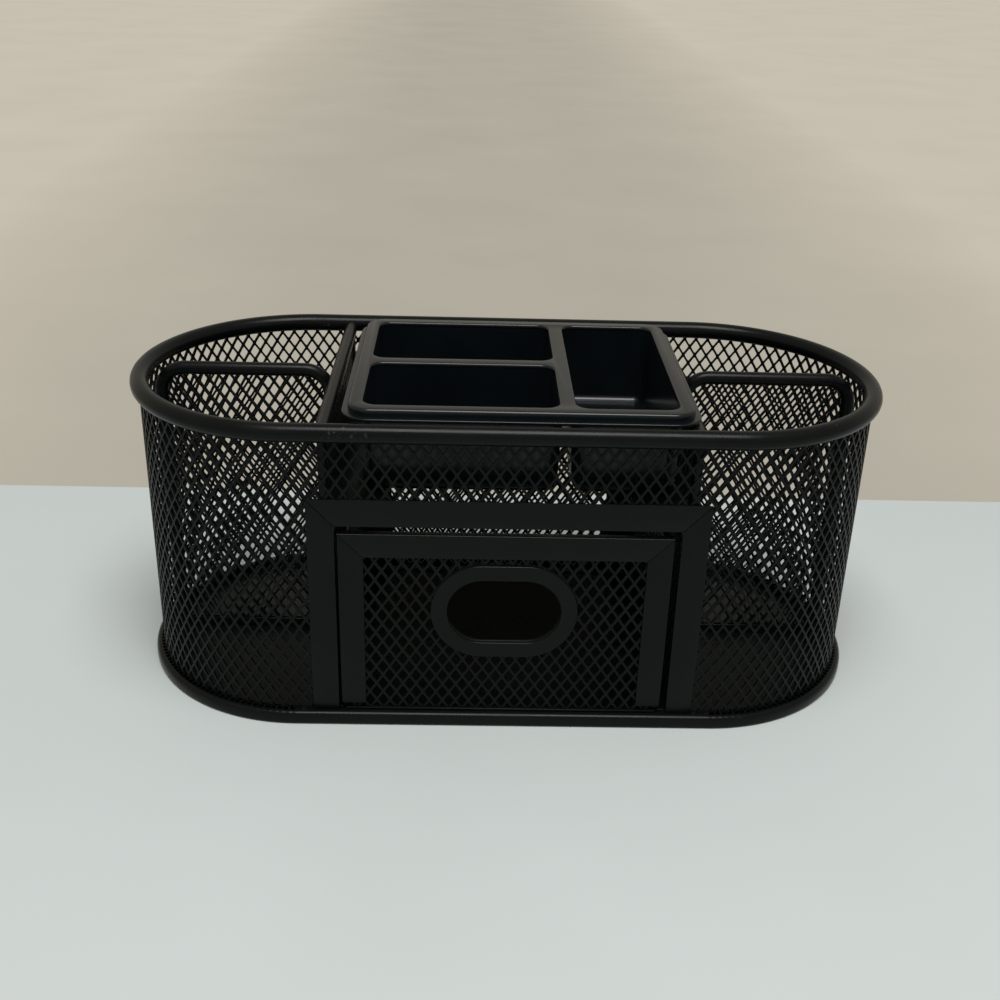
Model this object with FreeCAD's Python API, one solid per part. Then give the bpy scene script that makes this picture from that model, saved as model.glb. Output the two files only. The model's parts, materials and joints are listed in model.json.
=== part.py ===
import FreeCAD, Part
import math
import os

# Oval desk organizer: a basket of expanded steel mesh with four pen compartments, a drawer in its
# front wall and a moulded tray that lifts out of the middle bay. Millimetres. X runs along the
# length, Y towards the back, Z up. The origin is on the table, under the middle of the basket.

Vec = FreeCAD.Vector
UP = Vec(0, 0, 1)
ALONG = Vec(1, 0, 0)
BACK = Vec(0, 1, 0)

# ---- Basket ----
BODY_LENGTH = 322.0         # mesh wall, middle of its thickness, along X
BODY_DEPTH = 141.0          # mesh wall along Y; both ends are half rounds of this width
HEIGHT = 140.0              # table to the top of the rim tube
RIM_DIAMETER = 8.0          # rolled tube that closes the top edge of the mesh
SHEET = 0.8                 # folded steel strip and sheet
WELD_GAP = 0.1              # left between pieces that are welded, all round
SEAM = 0.2                  # open seam at a mitred corner

# ---- Expanded mesh ----
MESH_THICKNESS = 1.0
CELL_WIDTH = 5.7            # real diamond, knuckle to knuckle, along the panel
CELL_HEIGHT = 8.5           # real diamond, knuckle to knuckle, up the panel
STRAND_WIDTH = 0.95         # real strand
COARSENESS = 6              # one modelled diamond stands for this many real ones each way
MESH_BORDER = 1.8           # solid edge of a cut panel, held in a tube or strip

# ---- Base ----
BAND_HEIGHT = 6.0           # rolled band round the foot of the wall
BAND_OUT = 4.2              # how far the band stands out from the middle of the mesh
BAND_IN = 1.6               # how far it reaches inside the middle of the mesh
BAND_ROUND = 2.4            # radius of the band's upper outer edge
BAND_BEVEL = 1.2            # bevel of its lower outer edge
BAND_GROOVE = 2.0           # depth of the groove that holds the mesh
FLOOR_CLEAR = 1.0           # floor sheet above the table

# ---- Drawer surround on the front wall ----
SURROUND_OVERLAP = 7.1      # outer edge beyond the middle of the side dividers
SURROUND_DROP = 32.5        # its top below the top of the rim
SURROUND_LEG = 11.3         # width of an upright strip
SURROUND_HEAD = 12.0        # height of the top strip
SURROUND_RETURN = 3.0       # edge folded back into the opening
SURROUND_FOOT_GAP = 0.3     # above the base band

# ---- Side dividers, from front to back ----
SIDE_DIVIDER_X = 75.5       # middle of the mesh, each side of the middle bay
ROD_DIAMETER = 6.0          # rolled tube on top of every divider
ROD_DROP = 2.0              # top of the rods below the top of the rim
BINDING_WIDTH = 3.0         # strip folded over an upright mesh edge
BINDING_DEPTH = 5.0

# ---- End dividers, across the rounded ends ----
END_DIVIDER_Y = 4.5
END_ROD_SET_IN = 6.0        # middle of the outer upright inside the tip of the wall
END_ROD_BEND = 11.0         # bend radius to the middle of the tube
END_ROD_CLEAR = 0.7         # inner upright to the side divider's mesh
FOOT_STRIP_HEIGHT = 4.6
FOOT_STRIP_WIDTH = 2.6

# ---- Rails of the middle bay ----
RUNNER_WIDTH = 9.0          # inverted channel that carries the drawer
RAIL_WIDTH = 24.0           # angle that carries the tray's cups
RAIL_WEB = 8.0
RAIL_END_GAP = 0.3          # rail end to the divider's binding

# ---- Drawer ----
DRAWER_OFFSET = -0.9        # the drawer lies to the left within its running play
DRAWER_SIDE_PLAY = 1.8      # front to the surround, each side, when it lies in the middle
DRAWER_TOP_PLAY = 3.5       # top of the front to the surround
DRAWER_RUN_GAP = 0.3        # drawer floor above its runners
DRAWER_REAR_GAP = 16.0      # rear panel to the rear wall
DRAWER_SIDE_INSET = 1.0     # side panel's outer face inside the edge of the front
DRAWER_FLANGE = 1.5         # edge folded up round the drawer floor, over the sheet
FRONT_STRIP = 10.7          # width of the strips on the drawer front
FRONT_RETURN = 3.4          # their edge folded back
FRONT_EDGE_ROUND = 0.7      # rounded fold of the strips
FRONT_FOOT = 9.5            # lower end of the upright strips
FACE_STEP = 0.3             # drawer front behind the face of the surround
SIDE_DROP = 4.0             # side and rear hems below the top of the front
HEM_WIDTH = 2.8
HEM_HEIGHT = 5.0
REAR_STRIP = 12.5           # upright corner strip of the rear panel
STOP_HEIGHT = 9.0           # tab behind the drawer
STOP_WIDTH = 24.0
STOP_FOOT = 8.0

# ---- Finger hole ----
HOLE_WIDTH = 48.0
HOLE_HEIGHT = 30.0
HOLE_DROP = 36.0            # its centre below the top of the front
RING_BAND = 7.0             # flat ring round the hole
RING_THICKNESS = 1.1
RING_COLLAR = 1.0           # wall of the collar that goes through the mesh

# ---- Pen tray ----
TRAY_GAP_LEFT = 9.4         # lip to the middle of the side divider; the tray is pushed to the right
TRAY_GAP_RIGHT = 0.6
TRAY_GAP_FRONT = 4.5        # lip to the inside of the rim
TRAY_GAP_REAR = 9.5
TRAY_PROUD = 3.0            # top of the lip above the rim
CUP_DEPTH = 38.7            # top of the lip to the underside of the cups
TRAY_CORNER = 9.0
TRAY_WALL = 1.6
TRAY_EDGE_BEVEL = 0.9
TRAY_SKIRT = 4.6            # top face to the underside of the flange
FLANGE_OUT = 2.6
FLANGE_THICKNESS = 1.3
TRAY_MARGIN = 6.0           # lip to cup
CUP_BAR = 6.6               # between two cups
RIGHT_CUP_WIDTH = 42.5
CUP_CORNER = 6.0
CUP_DRAFT = 2.0             # degrees
CUP_FLOOR_BEVEL = 2.0
TRAY_REST_GAP = 0.3         # cup bottoms above the rails

# ---- Drawing aids ----
HALF_STEPS = 2              # neighbouring diamonds lie half a diamond apart, both ways
PARALLEL = 0.99             # cosine above which two directions count as parallel
BAND_FLATS = 2              # flats of the band's rounded edge
RIM_SIDES = 12              # flats of the drawn rim, within 0.14 mm of the round
ROD_SIDES = 8               # flats of the thinner rods, within 0.23 mm of the round

# ---- Worked-out places ----
RIM_Z = HEIGHT - RIM_DIAMETER / 2
END_RADIUS = BODY_DEPTH / 2
STRAIGHT_HALF = BODY_LENGTH / 2 - END_RADIUS
WALL_INSIDE = END_RADIUS - MESH_THICKNESS / 2
WALL_OUTSIDE = END_RADIUS + MESH_THICKNESS / 2
MESH_FOOT = BAND_HEIGHT - BAND_GROOVE
FLOOR_TOP = FLOOR_CLEAR + SHEET
BAND_INSIDE = END_RADIUS - BAND_IN
FOLD_STEP = CELL_WIDTH * COARSENESS / HALF_STEPS
FOLD_SAG = WALL_INSIDE * (1 - math.cos(FOLD_STEP / 2 / END_RADIUS))
CUTTER_REACH = MESH_THICKNESS + END_RADIUS * (1 - math.cos(FOLD_STEP / END_RADIUS))
SMALLEST_OPENING = (STRAND_WIDTH * COARSENESS) ** 2
SURROUND_HALF = SIDE_DIVIDER_X + SURROUND_OVERLAP
SURROUND_TOP = HEIGHT - SURROUND_DROP
SURROUND_INNER = SURROUND_HALF - SURROUND_LEG
SURROUND_INNER_TOP = SURROUND_TOP - SURROUND_HEAD
SURROUND_FACE = -WALL_OUTSIDE - SHEET
ROD_Z = HEIGHT - ROD_DROP - ROD_DIAMETER / 2
RIM_INSIDE = END_RADIUS - RIM_DIAMETER / 2
RIM_UNDERSIDE = HEIGHT - RIM_DIAMETER
BAY_FACE = SIDE_DIVIDER_X - MESH_THICKNESS / 2
RUNNER_TOP = BAND_HEIGHT + WELD_GAP
DRAWER_FLOOR = RUNNER_TOP + DRAWER_RUN_GAP
DRAWER_FACE = SURROUND_FACE + FACE_STEP
DRAWER_MESH_Y = DRAWER_FACE + SHEET + MESH_THICKNESS / 2 + WELD_GAP
DRAWER_HALF = SURROUND_INNER - DRAWER_SIDE_PLAY
DRAWER_TOP = SURROUND_INNER_TOP - DRAWER_TOP_PLAY
DRAWER_REAR = WALL_INSIDE - DRAWER_REAR_GAP
SIDE_TOP = DRAWER_TOP - SIDE_DROP
SIDE_HALF = DRAWER_HALF - DRAWER_SIDE_INSET
HOLE_CENTRE_Z = DRAWER_TOP - HOLE_DROP
END_ROD_REACH = BODY_LENGTH / 2 - END_ROD_SET_IN
END_ROD_INNER_X = -SIDE_DIVIDER_X - MESH_THICKNESS / 2 - END_ROD_CLEAR - ROD_DIAMETER / 2
TRAY_TOP = HEIGHT + TRAY_PROUD
TRAY_CUP_BOTTOM = TRAY_TOP - CUP_DEPTH
RAIL_TOP = TRAY_CUP_BOTTOM - TRAY_REST_GAP


# ---------------------------------------------------------------- general shapes
def box(x_low, x_high, y_low, y_high, z_low, z_high):
    corner = Vec(x_low, y_low, z_low)
    return Part.makeBox(x_high - x_low, y_high - y_low, z_high - z_low, corner)


def mirrored(shape):
    """The same piece on the other side of the YZ plane."""
    return shape.mirror(Vec(0, 0, 0), ALONG)


def polygon(points):
    return Part.Face(Part.makePolygon(points + points[:1]))


def stadium_wire(length, depth, z):
    """Two straight runs joined by half rounds, flat at height z."""
    radius = depth / 2
    half = length / 2 - radius
    runs = [
        Part.LineSegment(Vec(-half, -radius, z), Vec(half, -radius, z)),
        Part.Arc(Vec(half, -radius, z), Vec(half + radius, 0, z), Vec(half, radius, z)),
        Part.LineSegment(Vec(half, radius, z), Vec(-half, radius, z)),
        Part.Arc(Vec(-half, radius, z), Vec(-half - radius, 0, z), Vec(-half, -radius, z)),
    ]
    return Part.Wire([run.toShape() for run in runs])


def stadium_slab(offset, z_low, z_high):
    """Slab of the basket's plan, grown outwards by offset from the middle of the mesh."""
    wire = stadium_wire(BODY_LENGTH + 2 * offset, BODY_DEPTH + 2 * offset, z_low)
    return Part.Face(wire).extrude(UP * (z_high - z_low))


def upright_stadium(width, height, centre, y):
    """Face of a long rounded hole, upright in the plane at y."""
    face = Part.Face(stadium_wire(width, height, 0))
    face.rotate(Vec(0, 0, 0), ALONG, 90)
    face.translate(Vec(centre.x, y, centre.z))
    return face


def rounded_wire(x_low, x_high, y_low, y_high, radius, z):
    """Rectangle with rounded corners, flat at height z."""
    slab = box(x_low, x_high, y_low, y_high, z, z + 1)
    uprights = [edge for edge in slab.Edges if abs(edge.tangentAt(0).z) > 0.5]
    slab = slab.makeFillet(radius, uprights)
    lowest = min(slab.Faces, key=lambda face: face.CenterOfMass.z)
    return lowest.OuterWire


def rounded_slab(x_low, x_high, y_low, y_high, radius, z_low, z_high):
    wire = rounded_wire(x_low, x_high, y_low, y_high, radius, z_low)
    return Part.Face(wire).extrude(UP * (z_high - z_low))


def run_bar(section, moves):
    """Bar of one section. Each move is a straight run, or a bend given as centre, axis and degrees."""
    face = section.copy()
    spans = []
    for move in moves:
        if len(move) == 1:
            spans.append(face.extrude(move[0]))
            face.translate(move[0])
        else:
            spans.append(face.revolve(*move))
            face.rotate(*move)
    return spans[0].fuse(spans[1:]).removeSplitter() if len(spans) > 1 else spans[0]


def run_round_wall(section):
    """Carry a section drawn at the left end of the front wall once round the basket."""
    length = ALONG * 2 * STRAIGHT_HALF
    right_end = (ALONG * STRAIGHT_HALF, UP, 180)
    left_end = (ALONG * -STRAIGHT_HALF, UP, 180)
    return run_bar(section, [(length,), right_end, (length * -1,), left_end])


def bar_section(centre, normal, diameter, sides, slot):
    """Section of a rolled bar, with the slot that grips a mesh edge."""
    ahead = normal.cross(UP) if abs(normal.z) < PARALLEL else ALONG
    aside = normal.cross(ahead)
    corners = []
    for corner in range(sides):
        turn = 2 * math.pi * corner / sides
        corners.append(centre + (ahead * math.cos(turn) + aside * math.sin(turn)) * (diameter / 2))
    return polygon(corners).cut(slot).Faces[0]


# ---------------------------------------------------------------- expanded mesh
def diamond(x, z):
    """One opening of the mesh, in the XZ plane, less half a strand on every side."""
    half_width = CELL_WIDTH * COARSENESS / 2
    half_height = CELL_HEIGHT * COARSENESS / 2
    to_side = half_width * half_height / math.hypot(half_width, half_height)
    share = 1 - STRAND_WIDTH * COARSENESS / 2 / to_side
    right = half_width * share
    top = half_height * share
    return polygon([Vec(x - right, 0, z), Vec(x, 0, z - top), Vec(x + right, 0, z), Vec(x, 0, z + top)])


def mesh_openings(region):
    """Diamonds in staggered rows over an upright region, clipped to its outline."""
    bounds = region.BoundBox
    step_x = CELL_WIDTH * COARSENESS / HALF_STEPS
    step_z = CELL_HEIGHT * COARSENESS / HALF_STEPS
    middle_x = bounds.Center.x
    middle_z = bounds.Center.z
    columns = int(bounds.XLength / 2 / step_x) + 2
    rows = int(bounds.ZLength / 2 / step_z) + 2
    diamonds = []
    for column in range(-columns, columns + 1):
        for row in range(-rows, rows + 1):
            if (column + row) % HALF_STEPS == 0:
                diamonds.append(diamond(middle_x + column * step_x, middle_z + row * step_z))
    clipped = region.common(Part.makeCompound(diamonds))
    return [face for face in clipped.Faces if face.Area > SMALLEST_OPENING]


def upright_rectangle(x_low, x_high, z_low, z_high):
    corners = [Vec(x_low, 0, z_low), Vec(x_high, 0, z_low), Vec(x_high, 0, z_high), Vec(x_low, 0, z_high)]
    return polygon(corners)


def mesh_from_face(outline, region):
    """Flat mesh in the XZ plane, its thickness shared about that plane."""
    sheet = outline.cut(Part.makeCompound(mesh_openings(region)))
    solid = sheet.extrude(BACK * MESH_THICKNESS)
    solid.translate(BACK * (-MESH_THICKNESS / 2))
    return solid.Solids[0]


def mesh_panel(low, high, z_low, z_high):
    """Rectangular mesh panel in the XZ plane."""
    outline = upright_rectangle(low, high, z_low, z_high)
    edge = MESH_BORDER
    region = upright_rectangle(low + edge, high - edge, z_low + edge, z_high - edge)
    return mesh_from_face(outline, region)


def turned_to_side(shape, x):
    """Panel drawn along X, turned to run along Y at the given x."""
    turned = shape.copy()
    turned.rotate(Vec(0, 0, 0), UP, 90)
    turned.translate(ALONG * x)
    return turned


# ---------------------------------------------------------------- basket: wall, rim and base
def upright_section(y_low, y_high, z_low, z_high):
    """Rectangle in the YZ plane at the left end of the front wall."""
    x = -STRAIGHT_HALF
    corners = [Vec(x, y_low, z_low), Vec(x, y_high, z_low), Vec(x, y_high, z_high), Vec(x, y_low, z_high)]
    return polygon(corners)


def mesh_slot(z_low, z_high):
    """Section of the slot that takes an edge of the wall mesh, with room for its folds."""
    slit = MESH_THICKNESS / 2 + WELD_GAP
    return upright_section(-END_RADIUS - slit, -END_RADIUS + slit + FOLD_SAG, z_low, z_high)


def rim_tube():
    centre = Vec(-STRAIGHT_HALF, -END_RADIUS, RIM_Z)
    slot = mesh_slot(RIM_UNDERSIDE - RIM_DIAMETER, RIM_Z + WELD_GAP)
    return run_round_wall(bar_section(centre, ALONG, RIM_DIAMETER, RIM_SIDES, slot))


def on_left_wall(solid, run):
    """Carry a cutter from the XZ plane to the left wall, run mm towards the front from its tip."""
    quarter = math.pi / 2 * END_RADIUS
    turn = max(-quarter, min(quarter, run)) / END_RADIUS
    beyond = max(0.0, abs(run) - quarter)
    placed = solid.copy()
    placed.translate(Vec(-run, -END_RADIUS, 0))
    placed.rotate(Vec(0, 0, 0), UP, math.degrees(turn) - 90)
    placed.translate(ALONG * (beyond - STRAIGHT_HALF))
    return placed


def folded_line(offset):
    """Plan of the wall round its left end, bent at every column of knuckles."""
    radius = END_RADIUS + offset
    folds = int(math.pi / 2 * END_RADIUS / FOLD_STEP)
    turns = [fold * FOLD_STEP / END_RADIUS for fold in range(-folds, folds + 1)]
    turns = [-math.pi / 2] + turns + [math.pi / 2]
    bends = []
    for turn in turns:
        bends.append(Vec(-STRAIGHT_HALF - radius * math.cos(turn), -radius * math.sin(turn), MESH_FOOT))
    rear = Vec(-SIDE_DIVIDER_X, radius, MESH_FOOT)
    front = Vec(-SIDE_DIVIDER_X, -radius, MESH_FOOT)
    return [rear] + bends + [front]


def left_wall_mesh():
    """Mesh from the front edge of the side divider round the end to its rear edge."""
    plan = folded_line(MESH_THICKNESS / 2) + folded_line(-MESH_THICKNESS / 2)[::-1]
    sheet = polygon(plan).extrude(UP * (RIM_Z - MESH_FOOT))
    half_run = math.pi / 2 * END_RADIUS + STRAIGHT_HALF - SIDE_DIVIDER_X - MESH_BORDER
    region = upright_rectangle(-half_run, half_run, MESH_FOOT + MESH_BORDER, RIM_UNDERSIDE)
    cutters = []
    for opening in mesh_openings(region):
        cutter = opening.extrude(BACK * 2 * CUTTER_REACH)
        cutter.translate(BACK * -CUTTER_REACH)
        cutters.append(on_left_wall(cutter, opening.CenterOfMass.x))
    return sheet.cut(cutters).Solids[0]


def front_wall_mesh():
    """Mesh over the drawer, held by the head of the surround."""
    panel = mesh_panel(-SIDE_DIVIDER_X, SIDE_DIVIDER_X, SURROUND_INNER_TOP + SURROUND_HEAD / 3, RIM_Z)
    panel.translate(BACK * (-END_RADIUS))
    return panel


def rear_wall_mesh():
    panel = mesh_panel(-SIDE_DIVIDER_X, SIDE_DIVIDER_X, MESH_FOOT, RIM_Z)
    panel.translate(BACK * END_RADIUS)
    return panel


def base_band():
    """Rolled band that grips the foot of the mesh and stands on the table."""
    x = -STRAIGHT_HALF
    outer = -END_RADIUS - BAND_OUT
    inner = -END_RADIUS + BAND_IN
    corners = [Vec(x, inner, BAND_HEIGHT), Vec(x, inner, 0)]
    corners += [Vec(x, outer + BAND_BEVEL, 0), Vec(x, outer, BAND_BEVEL)]
    for flat in range(BAND_FLATS + 1):
        turn = math.pi / 2 * flat / BAND_FLATS
        y = outer + BAND_ROUND * (1 - math.cos(turn))
        corners.append(Vec(x, y, BAND_HEIGHT - BAND_ROUND * (1 - math.sin(turn))))
    section = polygon(corners).cut(mesh_slot(MESH_FOOT, HEIGHT)).Faces[0]
    return run_round_wall(section)


def base_floor():
    return stadium_slab(-BAND_IN - WELD_GAP, FLOOR_CLEAR, FLOOR_TOP)


# ---------------------------------------------------------------- basket: drawer surround
def surround_head():
    """Mitred top strip, its lower edge folded back into the drawer opening."""
    face = polygon([
        Vec(-SURROUND_HALF, SURROUND_FACE, SURROUND_TOP),
        Vec(SURROUND_HALF, SURROUND_FACE, SURROUND_TOP),
        Vec(SURROUND_INNER, SURROUND_FACE, SURROUND_INNER_TOP),
        Vec(-SURROUND_INNER, SURROUND_FACE, SURROUND_INNER_TOP),
    ])
    strip = face.extrude(BACK * SHEET)
    fold = box(-SURROUND_INNER, SURROUND_INNER, SURROUND_FACE, SURROUND_FACE + SURROUND_RETURN,
               SURROUND_INNER_TOP, SURROUND_INNER_TOP + SHEET)
    return strip.fuse(fold).removeSplitter()


def left_surround_leg():
    foot = BAND_HEIGHT + SURROUND_FOOT_GAP
    face = polygon([
        Vec(-SURROUND_HALF, SURROUND_FACE, foot),
        Vec(-SURROUND_INNER, SURROUND_FACE, foot),
        Vec(-SURROUND_INNER, SURROUND_FACE, SURROUND_INNER_TOP - SEAM),
        Vec(-SURROUND_HALF, SURROUND_FACE, SURROUND_TOP - SEAM),
    ])
    strip = face.extrude(BACK * SHEET)
    fold = box(-SURROUND_INNER - SHEET, -SURROUND_INNER, SURROUND_FACE, SURROUND_FACE + SURROUND_RETURN,
               foot, SURROUND_INNER_TOP - SEAM)
    return strip.fuse(fold).removeSplitter()


# ---------------------------------------------------------------- basket: dividers
def left_side_divider_mesh():
    panel = mesh_panel(-RIM_INSIDE, RIM_INSIDE, FLOOR_TOP + WELD_GAP, ROD_Z)
    return turned_to_side(panel, -SIDE_DIVIDER_X)


def left_side_divider_rod():
    start = Vec(-SIDE_DIVIDER_X, -RIM_INSIDE, ROD_Z)
    slit = MESH_THICKNESS / 2 + WELD_GAP
    low = ROD_Z - ROD_DIAMETER
    high = ROD_Z + WELD_GAP
    left = -SIDE_DIVIDER_X - slit
    right = -SIDE_DIVIDER_X + slit
    corners = [Vec(left, start.y, low), Vec(right, start.y, low), Vec(right, start.y, high), Vec(left, start.y, high)]
    slot = polygon(corners)
    return run_bar(bar_section(start, BACK, ROD_DIAMETER, ROD_SIDES, slot), [(BACK * 2 * RIM_INSIDE,)])


def left_side_divider_front_binding():
    """Strip folded over the upright edge of the mesh and welded to the wall."""
    middle = -SIDE_DIVIDER_X
    strip = box(middle - BINDING_WIDTH / 2, middle + BINDING_WIDTH / 2,
                -WALL_INSIDE, -WALL_INSIDE + BINDING_DEPTH,
                RUNNER_TOP + WELD_GAP, RIM_UNDERSIDE - WELD_GAP)
    slit = MESH_THICKNESS / 2 + WELD_GAP
    slot = box(middle - slit, middle + slit, -WALL_INSIDE + SHEET, -WALL_INSIDE + BINDING_DEPTH, 0, HEIGHT)
    return strip.cut(slot)


def left_side_divider_rear_binding():
    return left_side_divider_front_binding().mirror(Vec(0, 0, 0), BACK)


def arch_wire(x_outer, x_inner, radius, z_low, z_high):
    """Inverted U in the XZ plane, from the foot of one upright to the foot of the other."""
    lift = radius * (1 - math.sqrt(0.5))
    runs = [
        Part.LineSegment(Vec(x_outer, 0, z_low), Vec(x_outer, 0, z_high - radius)),
        Part.Arc(Vec(x_outer, 0, z_high - radius), Vec(x_outer + lift, 0, z_high - lift),
                 Vec(x_outer + radius, 0, z_high)),
        Part.LineSegment(Vec(x_outer + radius, 0, z_high), Vec(x_inner - radius, 0, z_high)),
        Part.Arc(Vec(x_inner - radius, 0, z_high), Vec(x_inner - lift, 0, z_high - lift),
                 Vec(x_inner, 0, z_high - radius)),
        Part.LineSegment(Vec(x_inner, 0, z_high - radius), Vec(x_inner, 0, z_low)),
    ]
    return Part.Wire([run.toShape() for run in runs])


def arch_face(x_outer, x_inner, radius, z_low, z_high):
    arch = arch_wire(x_outer, x_inner, radius, z_low, z_high)
    foot = Part.LineSegment(Vec(x_inner, 0, z_low), Vec(x_outer, 0, z_low)).toShape()
    return Part.Face(Part.Wire(arch.Edges + [foot]))


def left_end_divider_rod():
    """Tube bent over the mesh of the end divider, its feet on the floor."""
    start = Vec(-END_ROD_REACH, END_DIVIDER_Y, FLOOR_TOP)
    slit = MESH_THICKNESS / 2 + WELD_GAP
    near = start.x - WELD_GAP
    far = start.x + ROD_DIAMETER
    slot = polygon([Vec(near, start.y - slit, start.z), Vec(far, start.y - slit, start.z),
                    Vec(far, start.y + slit, start.z), Vec(near, start.y + slit, start.z)])
    bend_z = ROD_Z - END_ROD_BEND
    rise = UP * (bend_z - start.z)
    across = ALONG * (END_ROD_INNER_X - start.x - 2 * END_ROD_BEND)
    outer_bend = (Vec(start.x + END_ROD_BEND, start.y, bend_z), BACK, 90)
    inner_bend = (Vec(END_ROD_INNER_X - END_ROD_BEND, start.y, bend_z), BACK, 90)
    section = bar_section(start, UP, ROD_DIAMETER, ROD_SIDES, slot)
    return run_bar(section, [(rise,), outer_bend, (across,), inner_bend, (rise * -1,)])


def left_end_divider_mesh():
    foot = FLOOR_TOP + SHEET
    bend = END_ROD_BEND - WELD_GAP
    outline = arch_face(-END_ROD_REACH + WELD_GAP, END_ROD_INNER_X - WELD_GAP, bend, foot, ROD_Z - WELD_GAP)
    inset = ROD_DIAMETER / 2
    region = arch_face(-END_ROD_REACH + inset, END_ROD_INNER_X - inset, END_ROD_BEND - inset,
                       foot + FOOT_STRIP_HEIGHT - SHEET, ROD_Z - inset)
    panel = mesh_from_face(outline, region)
    panel.translate(BACK * END_DIVIDER_Y)
    return panel


def left_end_divider_foot():
    """Strip folded over the lower edge of the end divider, on the floor."""
    gap = ROD_DIAMETER / 2 + WELD_GAP
    low = -END_ROD_REACH + gap
    high = END_ROD_INNER_X - gap
    middle = END_DIVIDER_Y
    strip = box(low, high, middle - FOOT_STRIP_WIDTH / 2, middle + FOOT_STRIP_WIDTH / 2,
                FLOOR_TOP, FLOOR_TOP + FOOT_STRIP_HEIGHT)
    slit = MESH_THICKNESS / 2 + WELD_GAP
    return strip.cut(box(low, high, middle - slit, middle + slit, FLOOR_TOP + SHEET - WELD_GAP, HEIGHT))


# ---------------------------------------------------------------- basket: rails of the middle bay
def left_drawer_runner():
    """Inverted channel on the floor beside the side divider."""
    length = BAND_INSIDE - WELD_GAP
    outside = box(-BAY_FACE, -BAY_FACE + RUNNER_WIDTH, -length, length, FLOOR_TOP, RUNNER_TOP)
    inside = box(-BAY_FACE + SHEET, -BAY_FACE + RUNNER_WIDTH - SHEET, -length, length,
                 FLOOR_TOP, RUNNER_TOP - SHEET)
    return outside.cut(inside)


def left_tray_rail():
    """Angle on the side divider: its ledge carries the tray's cups."""
    length = WALL_INSIDE - BINDING_DEPTH - RAIL_END_GAP
    ledge = box(-BAY_FACE, -BAY_FACE + RAIL_WIDTH, -length, length, RAIL_TOP - SHEET, RAIL_TOP)
    web = box(-BAY_FACE, -BAY_FACE + SHEET, -length, length, RAIL_TOP - RAIL_WEB, RAIL_TOP)
    return ledge.fuse(web).removeSplitter()


def drawer_stop():
    """Tab bent up from the floor behind the drawer."""
    face = DRAWER_REAR + DRAWER_RUN_GAP
    foot = box(-STOP_WIDTH / 2, STOP_WIDTH / 2, face, face + STOP_FOOT, FLOOR_TOP, FLOOR_TOP + SHEET)
    tab = box(-STOP_WIDTH / 2, STOP_WIDTH / 2, face, face + SHEET, FLOOR_TOP, FLOOR_TOP + STOP_HEIGHT)
    return foot.fuse(tab).removeSplitter()


# ---------------------------------------------------------------- drawer
def in_drawer(shape):
    """Shift a piece drawn about the middle of the bay to where the drawer lies."""
    moved = shape.copy()
    moved.translate(ALONG * DRAWER_OFFSET)
    return moved


def rounded_fold(shape, axis):
    """Round the outer fold of a front strip, which runs along the given axis."""
    edges = []
    for edge in shape.Edges:
        along = abs(edge.tangentAt(edge.FirstParameter).dot(axis)) > PARALLEL
        at_face = abs(edge.CenterOfMass.y - DRAWER_FACE) < WELD_GAP
        at_rim = abs(edge.CenterOfMass.x) > DRAWER_HALF - WELD_GAP or edge.CenterOfMass.z > DRAWER_TOP - WELD_GAP
        if along and at_face and at_rim:
            edges.append(edge)
    return shape.makeFillet(FRONT_EDGE_ROUND, edges)


def drawer_front_head():
    """Mitred top strip of the drawer front, folded back along its upper edge."""
    low = DRAWER_TOP - FRONT_STRIP
    face = polygon([
        Vec(-DRAWER_HALF, DRAWER_FACE, DRAWER_TOP),
        Vec(DRAWER_HALF, DRAWER_FACE, DRAWER_TOP),
        Vec(DRAWER_HALF - FRONT_STRIP, DRAWER_FACE, low),
        Vec(-DRAWER_HALF + FRONT_STRIP, DRAWER_FACE, low),
    ])
    fold = box(-DRAWER_HALF + SHEET + SEAM, DRAWER_HALF - SHEET - SEAM, DRAWER_FACE, DRAWER_FACE + FRONT_RETURN,
               DRAWER_TOP - SHEET, DRAWER_TOP)
    strip = face.extrude(BACK * SHEET).fuse(fold).removeSplitter()
    return in_drawer(rounded_fold(strip, ALONG))


def left_front_strip():
    face = polygon([
        Vec(-DRAWER_HALF, DRAWER_FACE, FRONT_FOOT),
        Vec(-DRAWER_HALF + FRONT_STRIP, DRAWER_FACE, FRONT_FOOT),
        Vec(-DRAWER_HALF + FRONT_STRIP, DRAWER_FACE, DRAWER_TOP - FRONT_STRIP - SEAM),
        Vec(-DRAWER_HALF, DRAWER_FACE, DRAWER_TOP - SEAM),
    ])
    fold = box(-DRAWER_HALF, -DRAWER_HALF + SHEET, DRAWER_FACE, DRAWER_FACE + FRONT_RETURN,
               FRONT_FOOT, DRAWER_TOP - SHEET - SEAM)
    strip = face.extrude(BACK * SHEET).fuse(fold).removeSplitter()
    return rounded_fold(strip, UP)


def drawer_front_mesh():
    """Mesh behind the strips, cut out for the collar of the finger ring."""
    half = DRAWER_HALF - FRONT_STRIP / 3
    low = DRAWER_FLOOR + SHEET + WELD_GAP
    centre = Vec(0, 0, HOLE_CENTRE_Z)
    collar = 2 * (RING_COLLAR + WELD_GAP)
    hole = upright_stadium(HOLE_WIDTH + collar, HOLE_HEIGHT + collar, centre, 0)
    ring = 2 * RING_BAND
    covered = upright_stadium(HOLE_WIDTH + ring, HOLE_HEIGHT + ring, centre, 0)
    outline = upright_rectangle(-half, half, low, DRAWER_TOP - FRONT_STRIP / 3).cut(hole)
    region = upright_rectangle(-half + MESH_BORDER, half - MESH_BORDER, low + MESH_BORDER,
                               DRAWER_TOP - FRONT_STRIP).cut(covered)
    panel = mesh_from_face(outline, region)
    panel.translate(BACK * DRAWER_MESH_Y)
    return in_drawer(panel)


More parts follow.
